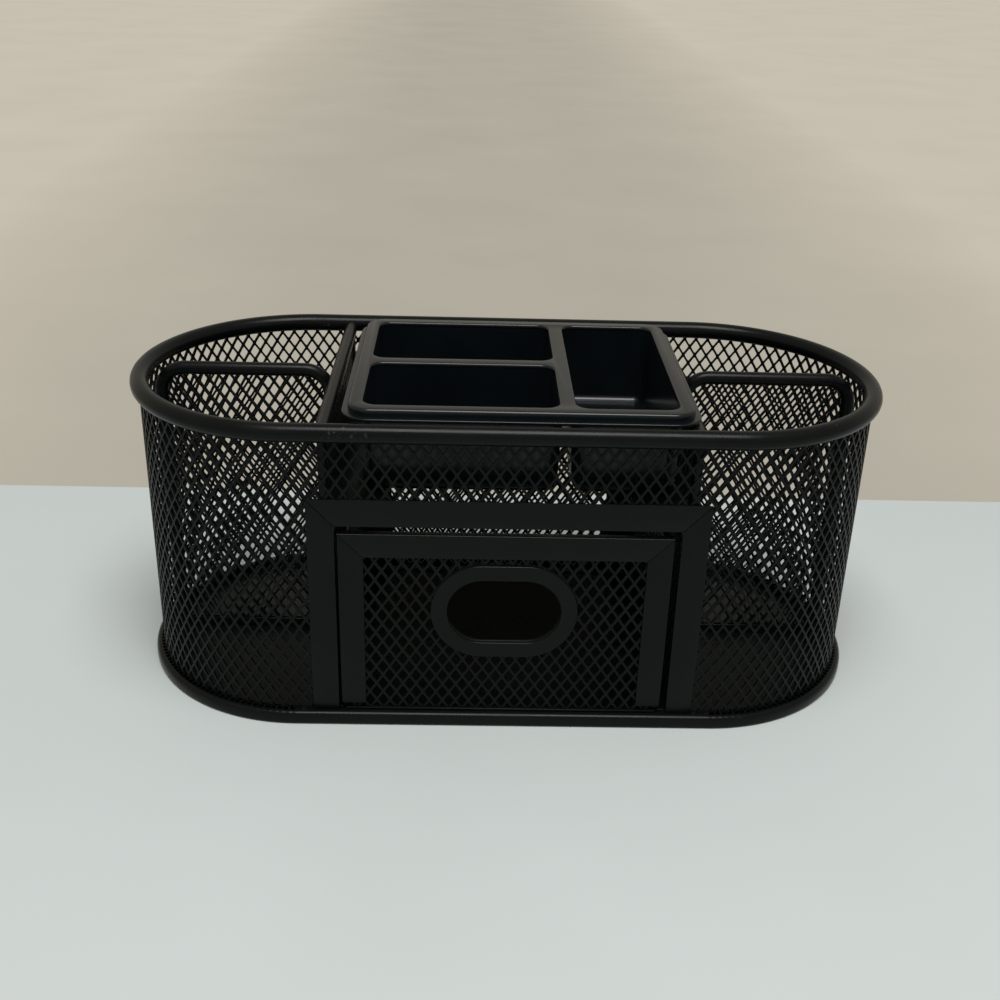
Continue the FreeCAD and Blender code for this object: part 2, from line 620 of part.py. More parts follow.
def ring_plate(y_low):
    """Flat ring round the finger hole."""
    centre = Vec(0, 0, HOLE_CENTRE_Z)
    band = 2 * RING_BAND
    outer = upright_stadium(HOLE_WIDTH + band, HOLE_HEIGHT + band, centre, y_low)
    hole = upright_stadium(HOLE_WIDTH, HOLE_HEIGHT, centre, y_low)
    return outer.cut(hole).extrude(BACK * RING_THICKNESS)


def finger_ring():
    """Front half of the grommet: a flat ring with a collar that goes through the mesh."""
    front = DRAWER_MESH_Y - MESH_THICKNESS / 2 - RING_THICKNESS
    centre = Vec(0, 0, HOLE_CENTRE_Z)
    plate = ring_plate(front)
    wall = 2 * RING_COLLAR
    collar = upright_stadium(HOLE_WIDTH + wall, HOLE_HEIGHT + wall, centre, front + RING_THICKNESS)
    collar = collar.cut(upright_stadium(HOLE_WIDTH, HOLE_HEIGHT, centre, front + RING_THICKNESS))
    return in_drawer(plate.fuse(collar.extrude(BACK * MESH_THICKNESS)).removeSplitter())


def finger_ring_back():
    return in_drawer(ring_plate(DRAWER_MESH_Y + MESH_THICKNESS / 2))


def drawer_floor():
    """Sheet pan, its edges folded up on all four sides."""
    front = DRAWER_FACE
    half = SIDE_HALF - MESH_THICKNESS
    sheet = box(-half, half, front, DRAWER_REAR - MESH_THICKNESS, DRAWER_FLOOR, DRAWER_FLOOR + SHEET + DRAWER_FLANGE)
    inside = box(-half + SHEET, half - SHEET, DRAWER_MESH_Y + MESH_THICKNESS, DRAWER_REAR - MESH_THICKNESS - SHEET,
                 DRAWER_FLOOR + SHEET, HEIGHT)
    lip = box(-half, half, front, DRAWER_MESH_Y + MESH_THICKNESS, DRAWER_FLOOR + SHEET, HEIGHT)
    return in_drawer(sheet.cut(inside).cut(lip))


def left_drawer_side_mesh():
    front = DRAWER_MESH_Y + MESH_THICKNESS / 2 + WELD_GAP
    panel = mesh_panel(front, DRAWER_REAR - MESH_THICKNESS, DRAWER_FLOOR, SIDE_TOP - SHEET - WELD_GAP)
    return turned_to_side(panel, -SIDE_HALF + MESH_THICKNESS / 2)


def left_drawer_side_hem():
    """Strip folded over the top edge of the side."""
    middle = -SIDE_HALF + MESH_THICKNESS / 2
    front = DRAWER_FACE + FRONT_RETURN + WELD_GAP
    strip = box(middle - HEM_WIDTH / 2, middle + HEM_WIDTH / 2, front, DRAWER_REAR - MESH_THICKNESS,
                SIDE_TOP - HEM_HEIGHT, SIDE_TOP)
    slit = MESH_THICKNESS / 2 + WELD_GAP
    return strip.cut(box(middle - slit, middle + slit, front, DRAWER_REAR, 0, SIDE_TOP - SHEET))


def drawer_rear_mesh():
    panel = mesh_panel(-SIDE_HALF, SIDE_HALF, DRAWER_FLOOR, SIDE_TOP - SHEET - WELD_GAP)
    panel.translate(BACK * (DRAWER_REAR - MESH_THICKNESS / 2))
    return in_drawer(panel)


def drawer_rear_hem():
    """Strip folded over the top edge of the rear panel, between the side hems."""
    middle = DRAWER_REAR - MESH_THICKNESS / 2
    half = SIDE_HALF - MESH_THICKNESS / 2 - HEM_WIDTH / 2 - WELD_GAP
    inner = middle - HEM_WIDTH / 2
    strip = box(-half, half, inner, DRAWER_REAR, SIDE_TOP - HEM_HEIGHT, SIDE_TOP)
    slit = MESH_THICKNESS / 2 + WELD_GAP
    return in_drawer(strip.cut(box(-half, half, middle - slit, DRAWER_REAR, 0, SIDE_TOP - SHEET)))


def left_rear_strip():
    """Upright strip inside the rear corner, which joins the rear panel to the side."""
    face = DRAWER_REAR - MESH_THICKNESS
    outer = -SIDE_HALF + MESH_THICKNESS
    low = DRAWER_FLOOR + SHEET + DRAWER_FLANGE + WELD_GAP
    high = SIDE_TOP - HEM_HEIGHT - WELD_GAP
    rear = box(outer, outer + REAR_STRIP, face - SHEET, face, low, high)
    side = box(outer, outer + SHEET, face - REAR_STRIP / 2, face, low, high)
    return rear.fuse(side).removeSplitter()


# ---------------------------------------------------------------- tray
def cup(x_low, x_high, y_low, y_high, z_low, grow):
    """Drafted cup, bevelled round its floor inside; grow turns the cavity into the outside of its wall."""
    lean = (TRAY_TOP - z_low) * math.tan(math.radians(CUP_DRAFT))
    left = x_low - grow
    right = x_high + grow
    front = y_low - grow
    rear = y_high + grow
    # a wedge narrows along Y, so it is drawn lying on its back and stood up
    solid = Part.makeWedge(left + lean, z_low, lean - rear, -rear, left,
                           right - lean, TRAY_TOP, -front - lean, -front, right)
    solid.rotate(Vec(0, 0, 0), ALONG, 90)
    uprights = [edge for edge in solid.Edges if edge.BoundBox.ZLength > CUP_FLOOR_BEVEL]
    solid = solid.makeFillet(CUP_CORNER + grow, uprights)
    if grow > 0:
        return solid
    floor_edges = [edge for edge in solid.Edges if edge.BoundBox.ZMax < z_low + WELD_GAP]
    return solid.makeChamfer(CUP_FLOOR_BEVEL, floor_edges)


def pen_tray():
    """One moulding: a lip with a skirt and flange, and three cups hanging from it."""
    x_low = -SIDE_DIVIDER_X + TRAY_GAP_LEFT
    x_high = SIDE_DIVIDER_X - TRAY_GAP_RIGHT
    y_low = -RIM_INSIDE + TRAY_GAP_FRONT
    y_high = RIM_INSIDE - TRAY_GAP_REAR
    skirt = TRAY_TOP - TRAY_SKIRT
    lip = rounded_slab(x_low, x_high, y_low, y_high, TRAY_CORNER, skirt, TRAY_TOP)
    top_edges = [edge for edge in lip.Edges if edge.BoundBox.ZMin > TRAY_TOP - WELD_GAP]
    lip = lip.makeChamfer(TRAY_EDGE_BEVEL, top_edges)
    flange = rounded_slab(x_low - FLANGE_OUT, x_high + FLANGE_OUT, y_low - FLANGE_OUT, y_high + FLANGE_OUT,
                          TRAY_CORNER + FLANGE_OUT, skirt, skirt + FLANGE_THICKNESS)
    hollow = rounded_slab(x_low + TRAY_WALL, x_high - TRAY_WALL, y_low + TRAY_WALL, y_high - TRAY_WALL,
                          TRAY_CORNER - TRAY_WALL, skirt, TRAY_TOP - TRAY_WALL)
    shell = lip.fuse(flange).cut(hollow)

    right_high = x_high - TRAY_MARGIN
    right_low = right_high - RIGHT_CUP_WIDTH
    left_high = right_low - CUP_BAR
    left_low = x_low + TRAY_MARGIN
    front = y_low + TRAY_MARGIN
    rear = y_high - TRAY_MARGIN
    middle = (front + rear) / 2
    spans = [
        (left_low, left_high, front, middle - CUP_BAR / 2),
        (left_low, left_high, middle + CUP_BAR / 2, rear),
        (right_low, right_high, front, rear),
    ]
    for span in spans:
        shell = shell.fuse(cup(*span, TRAY_CUP_BOTTOM, TRAY_WALL))
    for span in spans:
        shell = shell.cut(cup(*span, TRAY_CUP_BOTTOM + TRAY_WALL, 0))
    return shell.removeSplitter()


# ---------------------------------------------------------------- nodes
def paired(name, shape, shift=0.0):
    """A left piece and its mirror image on the right, both shifted along X."""
    left = shape.copy()
    left.translate(ALONG * shift)
    right = mirrored(shape)
    right.translate(ALONG * shift)
    return {"left_" + name: left, "right_" + name: right}


def all_nodes():
    nodes = {
        "rim_tube": rim_tube(),
        "front_wall_mesh": front_wall_mesh(),
        "rear_wall_mesh": rear_wall_mesh(),
        "base_band": base_band(),
        "base_floor": base_floor(),
        "surround_head": surround_head(),
        "drawer_stop": drawer_stop(),
        "drawer_front_head": drawer_front_head(),
        "drawer_front_mesh": drawer_front_mesh(),
        "finger_ring": finger_ring(),
        "finger_ring_back": finger_ring_back(),
        "drawer_floor": drawer_floor(),
        "drawer_rear_mesh": drawer_rear_mesh(),
        "drawer_rear_hem": drawer_rear_hem(),
        "pen_tray": pen_tray(),
    }
    nodes.update(paired("wall_mesh", left_wall_mesh()))
    nodes.update(paired("surround_leg", left_surround_leg()))
    nodes.update(paired("side_divider_mesh", left_side_divider_mesh()))
    nodes.update(paired("side_divider_rod", left_side_divider_rod()))
    nodes.update(paired("side_divider_front_binding", left_side_divider_front_binding()))
    nodes.update(paired("side_divider_rear_binding", left_side_divider_rear_binding()))
    nodes.update(paired("end_divider_mesh", left_end_divider_mesh()))
    nodes.update(paired("end_divider_rod", left_end_divider_rod()))
    nodes.update(paired("end_divider_foot", left_end_divider_foot()))
    nodes.update(paired("drawer_runner", left_drawer_runner()))
    nodes.update(paired("tray_rail", left_tray_rail()))
    nodes.update(paired("front_strip", left_front_strip(), DRAWER_OFFSET))
    nodes.update(paired("drawer_side_mesh", left_drawer_side_mesh(), DRAWER_OFFSET))
    nodes.update(paired("drawer_side_hem", left_drawer_side_hem(), DRAWER_OFFSET))
    nodes.update(paired("rear_strip", left_rear_strip(), DRAWER_OFFSET))
    return nodes


os.makedirs("parts", exist_ok=True)
for node_name, node_shape in all_nodes().items():
    print(node_name, len(node_shape.Solids), round(node_shape.Volume, 1), node_shape.isValid())
    node_shape.exportStep("parts/" + node_name + ".step")
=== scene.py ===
import json
import math

import bmesh
import bpy
from mathutils import Matrix, Vector

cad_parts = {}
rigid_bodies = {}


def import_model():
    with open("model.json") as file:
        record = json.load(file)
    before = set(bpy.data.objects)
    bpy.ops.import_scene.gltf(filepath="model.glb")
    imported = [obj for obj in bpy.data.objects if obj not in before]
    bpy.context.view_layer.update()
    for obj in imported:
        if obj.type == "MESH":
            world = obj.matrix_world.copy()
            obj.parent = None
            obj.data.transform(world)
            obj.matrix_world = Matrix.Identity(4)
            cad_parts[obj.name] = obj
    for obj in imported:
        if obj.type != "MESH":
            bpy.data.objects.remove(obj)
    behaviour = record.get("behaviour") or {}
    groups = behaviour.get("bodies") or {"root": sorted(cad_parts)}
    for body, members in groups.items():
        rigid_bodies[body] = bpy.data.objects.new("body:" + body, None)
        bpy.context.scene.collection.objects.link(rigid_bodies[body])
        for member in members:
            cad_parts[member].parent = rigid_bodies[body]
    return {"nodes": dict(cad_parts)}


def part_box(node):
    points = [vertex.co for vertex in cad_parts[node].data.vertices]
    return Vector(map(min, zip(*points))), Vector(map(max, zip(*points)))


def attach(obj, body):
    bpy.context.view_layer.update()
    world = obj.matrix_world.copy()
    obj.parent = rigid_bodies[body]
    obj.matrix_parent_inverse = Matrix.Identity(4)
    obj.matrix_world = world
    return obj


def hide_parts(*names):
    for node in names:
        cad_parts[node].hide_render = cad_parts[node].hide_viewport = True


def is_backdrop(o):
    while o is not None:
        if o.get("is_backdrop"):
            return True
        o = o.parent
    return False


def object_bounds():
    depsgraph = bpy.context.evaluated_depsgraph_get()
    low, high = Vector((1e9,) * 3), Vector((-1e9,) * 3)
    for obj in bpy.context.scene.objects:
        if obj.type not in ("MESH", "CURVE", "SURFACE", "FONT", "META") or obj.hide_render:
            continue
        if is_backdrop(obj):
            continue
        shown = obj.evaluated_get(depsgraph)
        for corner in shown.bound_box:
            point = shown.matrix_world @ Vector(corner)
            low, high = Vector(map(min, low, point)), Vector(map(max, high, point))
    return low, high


bpy.ops.object.select_all(action="SELECT")
bpy.ops.object.delete()
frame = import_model()
parts = frame["nodes"]
plain_box = [list(corner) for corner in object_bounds()]
print(len(parts), "exact parts, box", plain_box)

# %% [markdown]
# ## Sizes
# Some sizes are read from the exact parts and follow them. Others repeat a size of the exact parts
# as given numbers, such as the rim's radius, the width of the ring's band and the plan of the cups.
# Those have to be kept equal to the exact ones, because the boxes alone don't show it when they
# drift.
# The rest belong to the finish, such as the real pitch of the mesh: its diamonds are small and
# there are thousands of them, which is why the exact parts only carry a coarse pattern.
# %% Read sizes from the parts
MM = 0.001
rim_low, rim_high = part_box("rim_tube")
rim_radius = 4.0 * MM
rim_height = rim_high.z - rim_radius
end_radius = (rim_high.y - rim_low.y) / 2 - rim_radius
straight_half = (rim_high.x - rim_low.x) / 2 - rim_radius - end_radius
wall_round = 4 * straight_half + 2 * math.pi * end_radius
print("rim height", rim_height, "end radius", end_radius)
print("straight half", straight_half, "way round", wall_round)

# %% Sizes of the real mesh
mesh_sheet = 1.0 * MM
strand = 0.95 * MM
cells_round = 141
cell_width = wall_round / cells_round
cell_height = 8.5 * MM
hole_corner = 0.32 * MM
print("one diamond is", cell_width, "by", cell_height)

# %% [markdown]
# ## Working by hand, in code
# Modelling with operators means that Blender acts on what is selected, as it does under the mouse.
# A new primitive is selected all over and the exact parts are selected after loading, so these
# helpers always clear the selection first, and pick faces or edges by where they are or which way
# they face.
# %% Selecting helpers


def alone(piece):
    """Select one piece only and make it the active one."""
    bpy.ops.object.select_all(action="DESELECT")
    piece.select_set(True)
    bpy.context.view_layer.objects.active = piece


def named(name):
    """Name the piece that was just made and return it."""
    piece = bpy.context.object
    piece.name = name
    piece.data.name = name
    return piece


def pick_faces(piece, wanted):
    """In edit mode, select the faces for which wanted(face) is true."""
    bpy.ops.mesh.select_mode(type="FACE")
    bpy.ops.mesh.select_all(action="DESELECT")
    shape = bmesh.from_edit_mesh(piece.data)
    for face in shape.faces:
        face.select_set(bool(wanted(face)))
    bmesh.update_edit_mesh(piece.data)


def pick_edges(piece, wanted):
    """In edit mode, select the edges for which wanted(edge) is true."""
    bpy.ops.mesh.select_mode(type="EDGE")
    bpy.ops.mesh.select_all(action="DESELECT")
    shape = bmesh.from_edit_mesh(piece.data)
    for edge in shape.edges:
        edge.select_set(bool(wanted(edge)))
    bmesh.update_edit_mesh(piece.data)


def edge_middle(edge):
    return (edge.verts[0].co + edge.verts[1].co) / 2


print("selecting helpers ready")

# %% Finishing helpers
same_point = 0.00001


def settle(piece):
    """Put a piece's place into its mesh, with its object at the origin."""
    alone(piece)
    bpy.ops.object.transform_apply(location=True, rotation=True, scale=True)


def finish_modifiers(piece):
    alone(piece)
    for modifier in list(piece.modifiers):
        bpy.ops.object.modifier_apply(modifier=modifier.name)


def point_outwards(piece):
    """Merge doubled points and turn every face outwards."""
    alone(piece)
    bpy.ops.object.mode_set(mode="EDIT")
    bpy.ops.mesh.select_all(action="SELECT")
    bpy.ops.mesh.remove_doubles(threshold=same_point)
    bpy.ops.mesh.normals_make_consistent(inside=False)
    bpy.ops.object.mode_set(mode="OBJECT")


def smooth_by_angle(piece, degrees=35):
    alone(piece)
    bpy.ops.object.shade_smooth_by_angle(angle=math.radians(degrees))


def count_triangles(piece):
    return sum(len(face.vertices) - 2 for face in piece.data.polygons)


print("finishing helpers ready")


# %% [markdown]
# ## The camera
# The camera stands in front of the organizer, a little above it and slightly left of its middle,
# looking down at about 26 degrees. Its turn is written as three short turns: to the side, down, and
# a small lean.
# %% Place the camera
camera_place = Vector((-17.13, -523.79, 326.76)) * MM
turn_aside, look_down, lean = -0.0290, 0.4491, 0.0298
focal_pixels = 1247.5
picture_pixels = 1000
sensor_width = 36
aside = Matrix.Rotation(turn_aside, 3, "Z")
tilt = Matrix.Rotation(math.pi / 2 - look_down, 3, "X")
tip = Matrix.Rotation(lean, 3, "Z")
bpy.ops.object.camera_add(location=camera_place)
camera = bpy.context.object
camera.name = "camera"
camera.rotation_euler = (aside @ tilt @ tip).to_euler()
camera.data.sensor_width = sensor_width
camera.data.lens = focal_pixels * sensor_width / picture_pixels
camera.data.clip_start = 0.01
bpy.context.scene.camera = camera
print("camera lens", camera.data.lens)

# %% [markdown]
# ## Light and surroundings
# Black paint shows little colour of its own: what the eye reads is what the paint mirrors. One
# square lamp hangs above and in front, and lays a soft line along the rim and the tray's lip. An
# even, pale world fills the shadows, and only glossy rays see a warmer one, like a room. The table
# is a flat plate. Behind the organizer its finish turns into a warm grey board that the camera sees
# at full strength, as a wall behind a desk.
# %% Table and world
bpy.ops.mesh.primitive_plane_add(size=12.0, location=(0, 0, 0))
table = named("table")
settle(table)
table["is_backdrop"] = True

world = bpy.data.worlds.new("room")
bpy.context.scene.world = world
world.use_nodes = True
sky_nodes, sky_links = world.node_tree.nodes, world.node_tree.links
even_light = sky_nodes["Background"]
even_light.inputs["Color"].default_value = (0.97, 0.99, 1.0, 1.0)
even_light.inputs["Strength"].default_value = 0.42
room_seen = sky_nodes.new("ShaderNodeBackground")
room_seen.inputs["Color"].default_value = (0.46, 0.435, 0.375, 1.0)
room_seen.inputs["Strength"].default_value = 1.0
ray_kind = sky_nodes.new("ShaderNodeLightPath")
seen_in_gloss = sky_nodes.new("ShaderNodeMixShader")
sky_links.new(ray_kind.outputs["Is Glossy Ray"], seen_in_gloss.inputs[0])
sky_links.new(even_light.outputs[0], seen_in_gloss.inputs[1])
sky_links.new(room_seen.outputs[0], seen_in_gloss.inputs[2])
sky_links.new(seen_in_gloss.outputs[0], sky_nodes["World Output"].inputs["Surface"])
print("even light", even_light.inputs["Strength"].default_value)

# %% Lamp


def soft_lamp(name, place, aim, size, power):
    """A square area lamp that points at aim."""
    bpy.ops.object.light_add(type="AREA", location=place)
    lamp = bpy.context.object
    lamp.name = name
    lamp.rotation_euler = (Vector(aim) - Vector(place)).to_track_quat("-Z", "Y").to_euler()
    lamp.data.shape = "SQUARE"
    lamp.data.size = size
    lamp.data.energy = power
    print(name, power, "W,", size, "m wide")


soft_lamp("ceiling_lamp", place=(0.06, -0.5, 1.5), aim=(0, 0, 0.05), size=0.75, power=18.5)
bpy.context.scene.view_settings.view_transform = "Standard"

# %% [markdown]
# ## Writing shader sums
# A finish is a small network of nodes. Drawn by hand it is a tangle, so here one class wraps a
# node's output and lets it be added, multiplied and compared like a number, and one method adds any
# other node.
# %% One wire


class Wire:
    """One output of a node; sums on it add Math nodes."""

    def __init__(self, tree, socket):
        self.tree = tree
        self.socket = socket

    def _math(self, operation, left, right):
        node = self.tree.nodes.new("ShaderNodeMath")
        node.operation = operation
        for place, value in enumerate((left, right)):
            if isinstance(value, Wire):
                self.tree.links.new(value.socket, node.inputs[place])
            else:
                node.inputs[place].default_value = value
        return Wire(self.tree, node.outputs[0])

    def __add__(self, other):
        return self._math("ADD", self, other)

    def __mul__(self, other):
        return self._math("MULTIPLY", self, other)

    def __gt__(self, other):
        return self._math("GREATER_THAN", self, other)


print("wires can be added, multiplied and compared")

# %% One finish
object_output = 3  # where the Texture Coordinate node gives the place on the object
colour_output = 2  # where the Mix node gives a colour


class Finish:
    """A material whose nodes are added in the order in which they are thought of."""

    def __init__(self, name):
        self.material = bpy.data.materials.new(name)
        self.material.use_nodes = True
        self.tree = self.material.node_tree
        self.shader = self.tree.nodes["Principled BSDF"]

    def add(self, kind, settings=None, sockets=None, output=0):
        """Add a node of a kind, set it up, feed its sockets and return one of its outputs."""
        node = self.tree.nodes.new(kind)
        for key, value in (settings or {}).items():
            setattr(node, key, value)
        for key, value in (sockets or {}).items():
            self.feed(node, key, value)
        return Wire(self.tree, node.outputs[output])

    def feed(self, node, key, value):
        socket = next(s for s in node.inputs if key in (s.identifier, s.name))
        if isinstance(value, Wire):
            self.tree.links.new(value.socket, socket)
        else:
            socket.default_value = value

    def place(self):
        """Coordinates on the object, in metres."""
        return self.add("ShaderNodeTexCoord", output=object_output)

    def noise(self, scale, detail=2.0, rough=0.5):
        sockets = {"Vector": self.place(), "Scale": scale, "Detail": detail, "Roughness": rough}
        return self.add("ShaderNodeTexNoise", {}, sockets)

    def ramp(self, value, low, high):
        """Stretch a value so that low becomes 0 and high becomes 1, and stop there."""
        sockets = {"Value": value, "From Min": low, "From Max": high}
        return self.add("ShaderNodeMapRange", {"clamp": True}, sockets)

    def between(self, share, first, second):
        """Mix two colours."""
        sockets = {"Factor_Float": share, "A_Color": first, "B_Color": second}
        return self.add("ShaderNodeMix", {"data_type": "RGBA"}, sockets, output=colour_output)

    def bump(self, height, strength, distance):
        sockets = {"Height": height, "Strength": strength, "Distance": distance}
        return self.add("ShaderNodeBump", {}, sockets)

    def wear(self, **sockets):
        """Feed the surface shader."""
        for key, value in sockets.items():
            self.feed(self.shader, key.replace("_", " "), value)


def grey(value, warmth=0.0):
    """A near-black with a faint green cast."""
    return (value * (0.84 + warmth), value * 1.10, value * (1.02 - warmth), 1.0)


print("finish helpers ready")


# %% [markdown]
# ## Powder coat
# All steel here is powder coated: black paint baked on as a dust. It is never quite even. Darker
# places shine a little more, specks of dust are paler, and the whole surface has a fine orange
# peel. One noise for each keeps them apart: a slow one moves colour and roughness together, a fine
# one sets the specks, and a third only moves the bump. The tubes and the base band also have a few
# scuffs, where a patchy noise and a fine one are both high.
# %% Powder coat finish
peel_depth = 0.00008
scuff_colour = (0.11, 0.12, 0.115, 1.0)


def powder_coat(name, tone, roughness, shine, peel=0.25, scuffs=0.0):
    finish = Finish(name)
    clouds = finish.ramp(finish.noise(45, 3.0, 0.6), 0.35, 0.65)
    dust = finish.ramp(finish.noise(2600, 1.0), 0.60, 0.72)
    colour = finish.between(clouds, grey(tone * 0.85, -0.02), grey(tone * 1.15, 0.01))
    colour = finish.between(dust * 0.25, colour, grey(tone * 2.5))
    if scuffs:
        rubbed_places = finish.ramp(finish.noise(26, 1.0), 0.68, 0.78)
        scratches = finish.ramp(finish.noise(520, 2.0), 0.62, 0.70)
        colour = finish.between(rubbed_places * scratches * scuffs, colour, scuff_colour)
    peel_height = finish.noise(1500, 2.0, 0.55)
    finish.wear(
        Base_Color=colour,
        Roughness=clouds * 0.08 + (roughness - 0.04),
        Normal=finish.bump(peel_height, peel, peel_depth),
        Specular_IOR_Level=shine,
    )
    return finish.material


mesh_coat = powder_coat("powder_coated_mesh", tone=0.0040, roughness=0.40, shine=0.11)
tube_coat = powder_coat(
    "powder_coated_tube", tone=0.0035, roughness=0.27, shine=0.13, peel=0.3, scuffs=0.45
)
strip_coat = powder_coat("powder_coated_strip", tone=0.0034, roughness=0.29, shine=0.13)
ring_coat = powder_coat("powder_coated_ring", tone=0.0036, roughness=0.29, shine=0.13)
floor_coat = powder_coat("powder_coated_floor", tone=0.0040, roughness=0.30, shine=0.30)
print("coats", [made.name for made in (mesh_coat, tube_coat, strip_coat, ring_coat, floor_coat)])

# %% [markdown]
# ## Moulded plastic
# The tray is a black moulding. Its faces are smoother than the paint, with faint flow marks from
# the mould, so its lip carries sharper highlights and the insides of its cups look wet and slightly
# blue. The same nodes do it with a lower roughness, a bluer colour and one bump that adds the grain
# to the flow marks.
# %% Moulded plastic finish
mould_depth = 0.0001


def moulded_plastic(name):
    finish = Finish(name)
    flow = finish.ramp(finish.noise(38, 2.0, 0.5), 0.3, 0.7)
    grain = finish.noise(900, 2.0, 0.5)
    colour = finish.between(flow, (0.0028, 0.0044, 0.0056, 1), (0.0040, 0.0062, 0.0072, 1))
    finish.wear(
        Base_Color=colour,
        Roughness=flow * 0.06 + 0.20,
        Normal=finish.bump(grain * 0.4 + flow * 4.0, 0.18, mould_depth),
        Specular_IOR_Level=0.32,
    )
    return finish.material


tray_plastic = moulded_plastic("moulded_black_plastic")
print("plastic", tray_plastic.name)

# %% [markdown]
# ## Table and board
# One flat plate carries both. In front of a line it is a pale, matt table. Beyond the line it is a
# warm grey board, darker in the middle than at its ends: painted shade, darkest behind the
# organizer. The board gives light only to the camera, so that it doesn't light the organizer.
# %% Table finish
board_edge = 0.163


def table_top():
    """Pale in front of board_edge, a warm board beyond it, with painted shade in its middle."""
    finish = Finish("pale_table")
    mottle = finish.ramp(finish.noise(6, 3.0), 0.3, 0.7)
    pale = finish.between(mottle, (0.560, 0.598, 0.575, 1), (0.585, 0.620, 0.598, 1))
    # Painted shade: the board's middle colour is darker, for the shade behind the organizer.
    middle = finish.between(mottle, (0.425, 0.398, 0.328, 1), (0.450, 0.420, 0.346, 1))
    outer = finish.between(mottle, (0.560, 0.512, 0.425, 1), (0.585, 0.535, 0.445, 1))
    aside = finish.add("ShaderNodeSeparateXYZ", {}, {"Vector": finish.place()}, output=0)
    # The board goes from the painted shade in its middle to its plain colour towards the ends.
    warm = finish.between(finish.ramp(aside * aside, 0.02, 0.30), middle, outer)
    forward = finish.add("ShaderNodeSeparateXYZ", {}, {"Vector": finish.place()}, output=1)
    beyond = forward > board_edge
    colour = finish.between(beyond, pale, warm)
    finish.wear(Base_Color=colour, Roughness=0.6, Specular_IOR_Level=0.3)
    board = finish.add("ShaderNodeEmission", {}, {"Color": warm})
    shown = finish.add("ShaderNodeLightPath", output=0) * beyond
    both = finish.add("ShaderNodeMixShader")
    finish.tree.links.new(shown.socket, both.socket.node.inputs[0])
    finish.tree.links.new(finish.shader.outputs[0], both.socket.node.inputs[1])
    finish.tree.links.new(board.socket, both.socket.node.inputs[2])
    finish.tree.links.new(both.socket, finish.tree.nodes["Material Output"].inputs["Surface"])
    return finish.material


table.data.materials.append(table_top())
print("board starts", board_edge, "m behind the middle")

# %% Coat a piece with a finish


def coat(piece, material):
    """Leave a piece with one material."""
    piece.data.materials.clear()
    piece.data.materials.append(material)


print("a piece can be coated")

# %% [markdown]
# ## The mesh: one diamond, repeated
# Expanded mesh starts as a plain sheet that is slit and pulled, so that every slit opens into a
# diamond. A circle with four corners is a diamond. A smaller one inside it, its corners cut off, is
# the hole, and a bridge between the two is the diamond's share of the strands. A second diamond
# half a step away completes the pattern. Arrays then lay out a whole sheet, merged where strands
# meet, and it gets thick at the very end.
# %% Lay out a flat sheet of mesh
strand_merge = 0.00002
middle_to_side = cell_width * cell_height / 2 / math.hypot(cell_width, cell_height)
hole_share = 1 - strand / 2 / middle_to_side


def diamond_ring(name):
    """One diamond of strands round its hole, flat in the XZ plane."""
    bpy.ops.object.select_all(action="DESELECT")
    bpy.ops.mesh.primitive_circle_add(vertices=4, radius=0.5, fill_type="NOTHING")
    ring = named(name)
    bpy.ops.object.mode_set(mode="EDIT")
    bpy.ops.mesh.primitive_circle_add(vertices=4, radius=0.5 * hole_share, fill_type="NGON")
    bpy.ops.mesh.bevel(affect="VERTICES", offset=hole_corner / cell_width, segments=1)
    bpy.ops.mesh.delete(type="ONLY_FACE")
    bpy.ops.mesh.select_all(action="SELECT")
    bpy.ops.mesh.bridge_edge_loops()
    bpy.ops.object.mode_set(mode="OBJECT")
    ring.scale = (cell_width, cell_height, 1)
    ring.rotation_euler = (math.pi / 2, 0, 0)
    settle(ring)
    return ring


def mesh_sheet_of(name, columns, rows):
    """Flat sheet of diamonds in the XZ plane, its lower left diamond centred on the origin."""
    sheet = diamond_ring(name)
    steps = [
        (2, (cell_width / 2, 0, cell_height / 2)),
        (columns, (cell_width, 0, 0)),
        (rows, (0, 0, cell_height)),
    ]
    for count, offset in steps:
        repeat = sheet.modifiers.new("repeat", "ARRAY")
        repeat.count = count
        repeat.use_relative_offset = False
        repeat.use_constant_offset = True
        repeat.constant_offset_displace = offset
        repeat.use_merge_vertices = True
        repeat.merge_threshold = strand_merge
    finish_modifiers(sheet)
    return sheet


print("a hole is", hole_share, "of its diamond's width")

# %% Trim and thicken a sheet


def trim(piece, point, normal):
    """Cut a sheet along a plane and throw away what lies on the side the normal points to."""
    alone(piece)
    bpy.ops.object.mode_set(mode="EDIT")
    bpy.ops.mesh.select_all(action="SELECT")
    bpy.ops.mesh.bisect(plane_co=point, plane_no=normal, clear_outer=True, clear_inner=False)
    bpy.ops.object.mode_set(mode="OBJECT")


def thicken(sheet):
    """Give a sheet its thickness, half to each side."""
    wall = sheet.modifiers.new("sheet thickness", "SOLIDIFY")
    wall.thickness = mesh_sheet
    wall.offset = 0
    wall.use_rim = True
    finish_modifiers(sheet)


print("sheets become", mesh_sheet, "thick")

# %% [markdown]
# ## The wall: a sheet bent round an oval path
# The wall is one long strip of mesh, rolled round the oval and closed at a seam. The oval itself is
# a plane with its corners rounded as far as they go. Turned into a curve, it can bend the flat
# strip, which keeps the length of every strand. The opening for the drawer is cut afterwards,
# behind the strips that border it.
# %% An oval outline
corner_merge = 0.000005
full_round = 0.99999  # just short of closing up the straight between two corners


